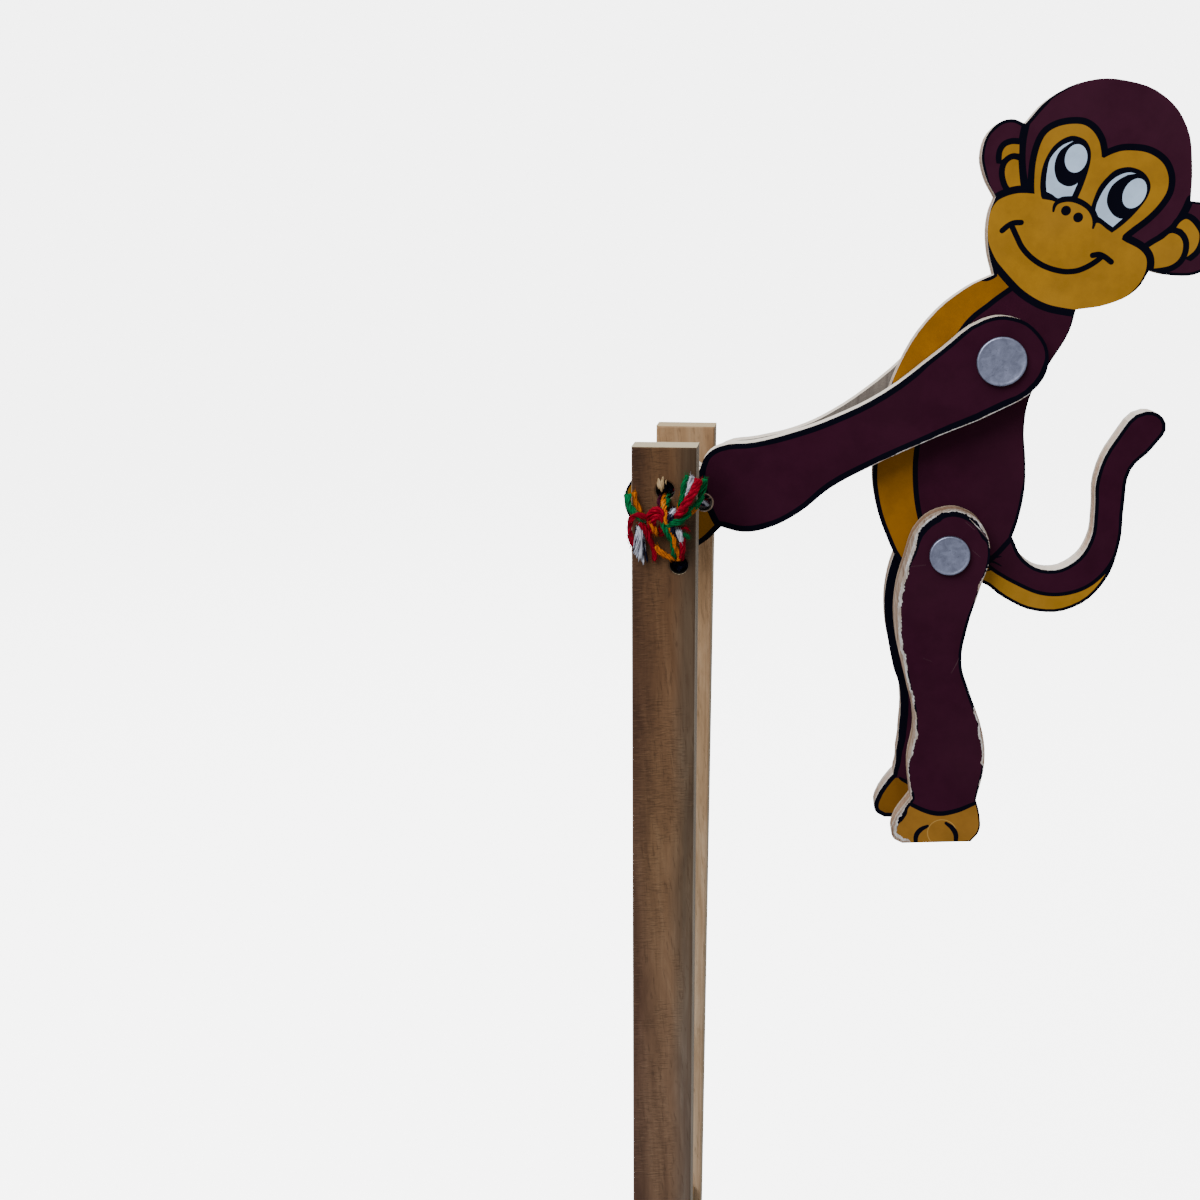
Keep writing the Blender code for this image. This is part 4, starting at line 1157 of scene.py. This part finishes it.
# The knot's yarns on the front stick: colour, radius, then points (x and z from the string axis, and
# distance out from the stick's face), in millimetres
KNOT_YARNS = (
    ("green", 1.05, ((-12.1, 9.9, 3.0), (-11.7, 6.9, 3.4), (-9.6, 4.5, 3.6), (-7.2, 2.8, 3.2),
        (-4.8, 1.8, 2.0))),
    ("orange", 0.7, ((-10.4, 10.2, 1.6), (-9.9, 7.5, 1.8), (-8.4, 4.5, 1.8))),
    ("red", 0.85, ((-4.4, 3.1, 3.2), (-7.0, 4.0, 4.6), (-9.8, 4.4, 4.4), (-11.1, 2.3, 3.8),
        (-11.3, -1.2, 3.2), (-10.9, -4.4, 2.4))),
    ("red", 0.8, ((-8.5, 2.0, 3.6), (-6.8, -0.1, 4.0), (-5.8, -3.0, 3.2), (-4.8, -5.5, 2.2),
        (-4.6, -8.8, 1.2))),
    ("white", 0.7, ((-7.0, 2.7, 2.6), (-8.5, 0.8, 3.2), (-9.1, -2.3, 3.0), (-9.7, -5.3, 2.4))),
    ("red", 1.1, ((-5.6, -1.0, 2.2), (-6.2, 2.4, 4.2), (-5.0, 5.4, 5.2), (-2.9, 6.0, 5.4), (-1.5, 4.0, 4.8),
        (-2.0, 0.6, 3.0), (-3.2, -1.4, 1.6))),
    ("red", 1.0, ((-4.7, -0.3, 3.0), (-4.8, 3.2, 5.0), (-3.4, 4.4, 5.6), (-2.1, 2.6, 4.6),
        (-2.8, -0.3, 2.6))),
    ("orange", 0.8, ((-6.3, 3.2, 3.6), (-4.8, 1.4, 4.6), (-3.9, -1.1, 3.2))),
    ("green", 0.75, ((-1.3, 8.5, -5.0), (-1.2, 8.2, 0.4), (-1.5, 7.0, 2.4), (-2.7, 5.1, 4.6))),
    ("orange", 0.8, ((-2.3, 8.4, -5.0), (-2.2, 7.9, 0.6), (-1.9, 5.7, 4.2), (-0.9, 3.0, 5.4),
        (0.1, -0.4, 4.6), (1.3, -4.6, 3.0), (1.6, -7.2, 1.6), (1.6, -8.4, 0.0), (1.6, -8.9, -5.0))),
    ("purple", 0.75, ((-3.4, 8.8, -5.0), (-3.4, 8.0, 0.4), (-2.6, 5.8, 2.4), (-0.3, 4.1, 3.4))),
    ("navy", 0.95, ((1.1, 6.2, 4.2), (-0.1, 4.2, 5.6), (0.4, 1.1, 5.0), (1.4, -2.0, 3.4))),
    ("white", 0.6, ((-0.7, 4.0, 4.6), (0.4, 5.5, 5.8), (1.2, 6.3, 5.0))),
    ("red", 1.35, ((-0.9, 2.3, 2.8), (2.3, 5.2, 5.4), (4.9, 8.7, 6.2), (6.4, 11.9, 6.0), (7.5, 14.7, 5.2))),
    ("white", 0.95, ((3.5, 8.6, 3.6), (4.6, 11.0, 4.4), (5.4, 13.4, 4.8), (5.7, 15.2, 4.6))),
    ("green", 0.9, ((2.4, 6.6, 3.6), (3.3, 9.8, 4.4), (3.6, 13.1, 4.6), (4.3, 15.5, 4.2))),
    ("orange", 0.85, ((1.0, 4.0, 3.0), (2.4, 6.9, 3.4), (3.1, 10.2, 3.4))),
    ("green", 0.9, ((6.2, 6.3, 3.2), (7.8, 8.9, 3.4), (8.6, 11.9, 3.2), (9.1, 14.3, 2.8))),
    ("orange", 0.75, ((3.5, 4.1, 3.2), (5.7, 5.5, 3.4), (7.3, 7.7, 3.0))),
    ("green", 1.05, ((-2.2, 0.1, 3.2), (0.2, 2.3, 5.6), (2.6, 3.1, 5.4), (4.4, 4.6, 4.4), (5.7, 6.6, 3.4))),
    ("green", 0.8, ((-2.4, 3.9, 4.2), (-1.8, 1.3, 5.2), (-0.7, -0.9, 5.0), (0.4, -3.4, 3.4),
        (0.7, -6.6, 2.0), (0.8, -8.3, 0.0), (1.0, -8.8, -5.0))),
    ("white", 0.85, ((0.8, 0.7, 3.0), (2.3, -0.4, 4.6), (2.8, -2.8, 3.6))),
    ("red", 0.85, ((1.9, 0.7, 3.0), (3.0, -2.6, 3.4), (3.1, -5.6, 2.6), (2.7, -7.6, 1.2), (2.6, -8.6, -0.6),
        (2.5, -9.0, -5.0))),
    ("red", 0.4, ((2.2, 0.3, 3.6), (3.9, 1.0, 4.4), (4.7, 0.4, 4.0))),
    ("green", 0.5, ((2.7, -0.8, 3.6), (4.2, -1.0, 4.2), (4.9, -2.0, 3.2))),
    ("orange", 0.7, ((-4.5, -4.6, 2.4), (-3.1, -6.2, 2.2), (-1.5, -7.4, 1.8), (0.0, -8.3, 0.8),
        (0.6, -8.8, -2.0))),
    ("navy", 1.2, ((-3.0, 10.7, -2.6), (-3.1, 10.8, -5.0), (-3.0, 10.7, -9.0))),
    ("navy", 1.2, ((-0.9, 10.9, -2.8), (-0.8, 10.8, -5.0), (-0.9, 10.9, -9.0))),
    ("navy", 1.1, ((-1.9, 11.8, -2.2), (-1.9, 11.7, -5.0), (-1.9, 11.8, -9.0))),
    ("navy", 1.2, ((0.9, -10.9, -2.6), (0.8, -10.8, -5.0), (0.9, -10.9, -9.0))),
    ("navy", 1.2, ((3.0, -10.8, -2.8), (3.1, -10.8, -5.0), (3.0, -10.8, -9.0))),
    ("navy", 1.1, ((1.9, -11.8, -2.2), (1.9, -11.7, -5.0), (1.9, -11.8, -9.0))),
)
# The frayed tassel, in the same measures: where its fibres start, and the line along which they end
TASSEL_FROM = (-8.6, 0.6, 3.2)
TASSEL_TO = ((-11.2, -5.6, 2.6), (-6.8, -10.2, 1.4))
TASSEL_FIBRES = 46
TASSEL_NAVY_EVERY = 4
KNOT_SEED = 11
# Loose fibres at a yarn's cut end: number, length in millimetres, radius and depth of their roots
BRUSH_FIBRES = 9
BRUSH_LENGTH = (0.35, 0.9)
BRUSH_RADIUS = 0.06 * MM
BRUSH_ROOT = 0.4

# The loop's string: its yarns by their share of a turn, and their distance from its middle and radius
BUNDLE = (("red", 0.0), ("navy", 0.25), ("white", 0.5), ("purple", 0.75))
BUNDLE_STRANDS = 6
BUNDLE_SPREAD = 0.62 * MM
BUNDLE_RADIUS = 0.62 * MM
STRING_SEED = 23
# Turns of the yarns in a run, in a pass through the hands and in the rear turn
RUN_TURNS = 1.6
PASS_TURNS = 2.0
REAR_TURNS = 6.0
# How far a run reaches into the stick and the hand, leaves the hand straight and lies towards the axis
RUN_IN_STICK = 5.6 * MM
RUN_IN_HAND = 2.5 * MM
RUN_OUT_OF_HAND = 1.5 * MM
RUN_INWARDS = 1.2 * MM
# How far inside the hands a pass ends
PASS_SHORTER = 2.0 * MM
PASS_STEPS = 12
# How far the rear turn starts inside the stick, and stands out at its bends and middle
TURN_IN_STICK = 3.0 * MM
TURN_BEND = 2.6 * MM
TURN_MIDDLE = 1.6 * MM


def on_stick_face(point):
    x, z, out = point
    return Vector((STRING_AXIS.x + x * MM, STICK_OUTER - out * MM, STRING_AXIS.z + z * MM))


def brush(yarn, end, ahead, radius, color, draw):
    """Loose fibres where a yarn is cut."""
    across = ahead.orthogonal().normalized()
    for _ in range(BRUSH_FIBRES):
        turn = Matrix.Rotation(draw.uniform(0.0, 2 * math.pi), 3, ahead)
        out = turn @ across * radius * draw.uniform(0.1, 0.75)
        length = draw.uniform(*BRUSH_LENGTH) * MM
        tip = end + out * draw.uniform(1.0, 1.6) + ahead * length
        root = end + out - ahead * BRUSH_ROOT * MM
        yarn.fibre([root, end + out + ahead * length * 0.5, tip], BRUSH_RADIUS, color)


def add_knot():
    """The tied yarns and the frayed white tassel on the front stick."""
    draw = random.Random(KNOT_SEED)
    yarn = YarnMesh()
    for color, radius, points in KNOT_YARNS:
        path = curve_through([on_stick_face(p) for p in points], 10)
        yarn.spun(path, radius * MM, color, draw)
        for end, other in ((path[0], path[1]), (path[-1], path[-2])):
            brush(yarn, end, (end - other).normalized(), radius * MM, color, draw)
    top = Vector(TASSEL_FROM)
    left, right = (Vector(p) for p in TASSEL_TO)
    for i in range(TASSEL_FIBRES):
        share = draw.random()
        end = left.lerp(right, share) + Vector([draw.uniform(-0.9, 0.9) for _ in range(3)])
        start = top + Vector([draw.uniform(-1.1, 1.1), draw.uniform(-0.8, 0.8), draw.uniform(-0.6, 0.6)])
        middle = start.lerp(end, 0.5) + Vector([draw.uniform(-0.6, 0.6), 0.0, draw.uniform(-0.3, 0.6)])
        path = curve_through([on_stick_face(p) for p in (start, middle, end)], 5)
        color = "navy" if i % TASSEL_NAVY_EVERY == TASSEL_NAVY_EVERY - 1 else "white"
        yarn.strand(path, draw.uniform(0.12, 0.24) * MM, color, around=5, ends=0.2)
    nodes = ["string_knot", "string_tail_left", "string_tail_low", "string_tail_right",
             "string_front_upper", "string_front_lower"]
    add_piece("knotted_yarn", yarn.finish("knotted_yarn"), "front_stick", nodes)


def stick_hole(side, depth, skew):
    x = STRING_AXIS.x - side * STICK_HOLE_REACH * math.sin(STICK_HOLE_TILT)
    rise = STRING_AXIS.z + side * STICK_HOLE_REACH * math.cos(STICK_HOLE_TILT) - CROSSBAR_LEVEL
    return Vector((
        x * math.cos(skew) + rise * math.sin(skew), depth,
        CROSSBAR_LEVEL + rise * math.cos(skew) - x * math.sin(skew),
    ))


def hand_hole(side, depth):
    place = STRING_AXIS + side * HAND_HOLE_REACH * ARM.normalized()
    return Vector((place.x, depth, place.z))


def bundle(yarn, path, turns, draw):
    """Four yarns wound round each other along a path."""
    walked = walk(path)
    count = len(path) - 1
    for color, share in BUNDLE:
        wound = []
        for i, (_, point, side, up) in enumerate(walked):
            angle = 2 * math.pi * (share + turns * i / count)
            wound.append(point + spoke(side, up, angle) * BUNDLE_SPREAD)
        yarn.spun(wound, BUNDLE_RADIUS, color, draw, BUNDLE_STRANDS)


def add_string():
    """The loop's runs between sticks and hands, its passes through the hands and its rear turn."""
    draw = random.Random(STRING_SEED)
    for side, word in ((1, "upper"), (-1, "lower")):
        for place, sign, skew in (("front", -1, 0.0), ("rear", 1, REAR_STICK_SKEW)):
            start = hand_hole(side, sign * (abs(HAND_FACE) - RUN_IN_HAND))
            leaving = hand_hole(side, sign * (abs(HAND_FACE) + RUN_OUT_OF_HAND))
            inwards = Vector((0.0, 0.0, -side * RUN_INWARDS))
            mouth = stick_hole(side, sign * abs(STICK_INNER), skew) + inwards
            end = stick_hole(side, sign * (abs(STICK_INNER) + RUN_IN_STICK), skew) + inwards
            yarn = YarnMesh()
            bundle(yarn, curve_through([start, leaving, mouth, end]), RUN_TURNS, draw)
            name = f"yarn_run_{place}_{word}"
            piece = add_piece(name, yarn.finish(name), None, [f"string_run_{place}_{word}"])
            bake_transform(piece)
        yarn = YarnMesh()
        reach = abs(HAND_FACE) - PASS_SHORTER
        path = [hand_hole(side, reach * (2 * i / PASS_STEPS - 1)) for i in range(PASS_STEPS + 1)]
        bundle(yarn, path, PASS_TURNS, draw)
        name = f"yarn_in_hands_{word}"
        add_piece(name, yarn.finish(name), "arms", [f"string_hand_{word}"])
    yarn = YarnMesh()
    inside_stick = REAR_LOW.y + TURN_IN_STICK
    out = REAR_HIGH.y
    turn = [
        stick_hole(share, depth, REAR_STICK_SKEW) for share, depth in (
            (1, inside_stick), (1, out), (0.8, out + TURN_BEND), (0.0, out + TURN_MIDDLE),
            (-0.8, out + TURN_BEND), (-1, out), (-1, inside_stick),
        )
    ]
    bundle(yarn, curve_through(turn, 10), REAR_TURNS, draw)
    add_piece("yarn_rear_turn", yarn.finish("yarn_rear_turn"), "rear_stick", ["string_rear_loop"])


# Splinters at the upper string hole, from the hole's centre: half width, then points (x, z, out)
SPLINTERS = (
    (0.55, ((-1.9, 3.4, 0.1), (-1.5, 2.2, 0.5), (-1.1, 0.9, 0.75), (-0.9, -0.3, 0.35))),
    (0.45, ((-0.6, 3.9, 0.05), (-0.7, 2.6, 0.45), (-0.7, 1.4, 0.6), (-0.4, 0.5, 0.3))),
    (0.28, ((-2.2, 2.6, 0.05), (-1.9, 1.4, 0.35), (-1.7, 0.4, 0.2))),
    (0.22, ((0.3, 3.1, 0.05), (0.2, 2.4, 0.3), (0.3, 1.7, 0.15))),
)
# A splinter's section, in shares of its half width and thickness
SPLINTER_SECTION = ((-1.0, 0.0), (-0.3, -1.0), (0.5, -0.7), (1.0, 0.1), (0.0, 1.0))
SPLINTER_THICKNESS = 0.22 * MM


def add_splinters():
    """Pale slivers of wood that the drill lifted."""
    centre = stick_hole(1, STICK_OUTER, 0.0)
    shape = bmesh.new()
    for half, points in SPLINTERS:
        path = curve_through([centre + Vector((x, -out, z)) * MM for x, z, out in points], 5)
        last = len(path) - 1
        rings = []
        for i, point in enumerate(path):
            width = half * MM * math.sin(math.pi * (0.12 + 0.80 * i / last))
            rings.append([
                shape.verts.new(point + Vector((across * width, deep * SPLINTER_THICKNESS, 0.0)))
                for across, deep in SPLINTER_SECTION
            ])
        for a, b in zip(rings, rings[1:]):
            for k in range(len(a)):
                shape.faces.new((a[k - 1], a[k], b[k], b[k - 1]))
        shape.faces.new(list(reversed(rings[0])))
        shape.faces.new(rings[-1])
    mesh = closed_mesh(shape, "hole_splinters", [splinter_material()])
    add_piece("hole_splinters", mesh, "front_stick")


# Rivets, in millimetres
RIVET_HEAD_THICKNESS = 1.2
RIVET_SHANK_RADIUS = 2.5
RIVET_PEEN_RADIUS = 3.9
RIVET_PEEN_THICKNESS = 1.1
RIVET_STEPS = 96
RIVET_PEEN_STEPS = 6
# The head's dish and rim: share of the radius, and depth from the front
RIVET_HEAD = (
    (0.0, 0.16), (0.45, 0.17), (0.80, 0.15), (0.885, 0.10), (0.915, 0.02), (0.94, 0.0), (0.965, 0.05),
    (0.985, 0.16), (1.0, 0.34), (1.0, RIVET_HEAD_THICKNESS),
)


def add_rivet(node, body, centre, material):
    """A turned rivet: dished head with a polished rim, shank and peened tail."""
    low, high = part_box(node)
    radius = (high.x - low.x) / 2 / MM
    front = low.y / MM
    back = high.y / MM
    peen = back - RIVET_PEEN_THICKNESS
    profile = [(share * radius, front + depth) for share, depth in RIVET_HEAD]
    profile += [(RIVET_SHANK_RADIUS, front + RIVET_HEAD_THICKNESS), (RIVET_SHANK_RADIUS, peen)]
    for i in range(RIVET_PEEN_STEPS + 1):
        turn = math.pi / 2 * i / RIVET_PEEN_STEPS
        profile.append((RIVET_PEEN_RADIUS * math.cos(turn), peen + RIVET_PEEN_THICKNESS * math.sin(turn)))
    shape = bmesh.new()
    rings = []
    for r, y in profile:
        if r < TINY:
            rings.append([shape.verts.new((centre.x, y * MM, centre.z))])
            continue
        ring = []
        for k in range(RIVET_STEPS):
            angle = 2 * math.pi * k / RIVET_STEPS
            x = centre.x + r * MM * math.cos(angle)
            z = centre.z + r * MM * math.sin(angle)
            ring.append(shape.verts.new((x, y * MM, z)))
        rings.append(ring)
    for a, b in zip(rings, rings[1:]):
        for k in range(RIVET_STEPS):
            corners = []
            for vertex in (a[(k - 1) % len(a)], a[k % len(a)], b[k % len(b)], b[(k - 1) % len(b)]):
                if vertex not in corners:
                    corners.append(vertex)
            shape.faces.new(corners).smooth = True
    name = f"{node}_turned"
    add_piece(name, closed_mesh(shape, name, [material]), body, [node])


def finish_cad():
    """Materials of the CAD pieces that stay in view."""
    front_holes = [stick_hole(side, 0.0, 0.0).xz for side in (1, -1)]
    rear_holes = [stick_hole(side, 0.0, REAR_STICK_SKEW).xz for side in (1, -1)]
    materials = {
        "front_stick": lath_material("dark_lath", STICK_LOW, STICK_HIGH, **FRONT_WOOD, holes=front_holes),
        "rear_stick": lath_material("tan_lath", REAR_LOW, REAR_HIGH, **REAR_WOOD, holes=rear_holes),
        "crossbar": lath_material("crossbar_wood", *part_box("crossbar"), **CROSSBAR_WOOD),
    }
    hand_holes = [hand_hole(side, 0.0).xz for side in (1, -1)]
    for node in ("body_plate", "front_arm", "rear_arm", "front_leg"):
        low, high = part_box(node)
        holes = hand_holes if node.endswith("_arm") else ()
        materials[node] = plywood_material(f"plywood_{node}", low.y, high.y, *PLY_STAINS[node], holes)
    aluminium = metal_material("aluminium", ALUMINIUM, 0.42, 420.0)
    steel = metal_material("steel", STEEL, 0.4, 400.0)
    add_rivet("shoulder_rivet", "arms", SHOULDER, aluminium)
    add_rivet("hip_rivet", "trunk", HIP, aluminium)
    for node in ("shoulder_washer", "hip_washer"):
        materials[node] = aluminium
    for node in ("front_pivot_nail", "rear_pivot_nail"):
        materials[node] = steel
    for node, material in materials.items():
        mesh = frame["nodes"][node].data
        mesh.materials.clear()
        mesh.materials.append(material)


def add_camera():
    data = bpy.data.cameras.new("camera")
    data.lens = CAMERA_LENS
    data.sensor_width = CAMERA_SENSOR
    data.clip_start = CAMERA_NEAR
    camera = add_object("camera", data)
    camera.location = CAMERA_PLACE
    camera.rotation_euler = [math.radians(a) for a in CAMERA_TURN_DEG]
    bpy.context.scene.camera = camera


def add_stage():
    """A pale floor that curves up into a round wall."""
    profile = [(0.0, 0.0), (STAGE_RADIUS - STAGE_CURVE, 0.0)]
    for i in range(1, STAGE_CURVE_STEPS + 1):
        angle = math.pi / 2 * i / STAGE_CURVE_STEPS
        inwards = STAGE_CURVE * (1 - math.sin(angle))
        profile.append((STAGE_RADIUS - inwards, STAGE_CURVE * (1 - math.cos(angle))))
    profile.append((STAGE_RADIUS, STAGE_WALL))
    shape = bmesh.new()
    points = [shape.verts.new((r, 0.0, z - STAGE_DROP)) for r, z in profile]
    edges = [shape.edges.new(pair) for pair in zip(points, points[1:])]
    bmesh.ops.spin(
        shape, geom=[*points, *edges], cent=(0.0, 0.0, 0.0), axis=(0.0, 0.0, 1.0), angle=2 * math.pi,
        steps=STAGE_STEPS, use_duplicate=False)
    bmesh.ops.remove_doubles(shape, verts=shape.verts, dist=STAGE_DROP)
    for face in shape.faces:
        face.smooth = True
    mesh = bpy.data.meshes.new("stage")
    shape.to_mesh(mesh)
    shape.free()
    mesh.materials.append(stage_material())
    stage = add_object("stage", mesh)
    stage.visible_diffuse = False
    stage.visible_glossy = False


def add_lights():
    world = bpy.data.worlds.new("soft_daylight")
    world.use_nodes = True
    sky = world.node_tree.nodes["Background"]
    sky.inputs["Color"].default_value = (1.0, 1.0, 1.0, 1.0)
    sky.inputs["Strength"].default_value = DAYLIGHT
    bpy.context.scene.world = world
    for name, (place, size, power) in LIGHTS.items():
        data = bpy.data.lights.new(name, "AREA")
        data.shape = "DISK"
        data.size = size
        data.energy = power
        light = add_object(name, data)
        light.location = place
        light.rotation_euler = (Vector(LIGHT_AIM) - Vector(place)).to_track_quat("-Z", "Y").to_euler()


add_camera()
add_knot()
add_string()
add_splinters()
add_prints()
add_rear_leg()
finish_cad()
add_stage()
add_lights()
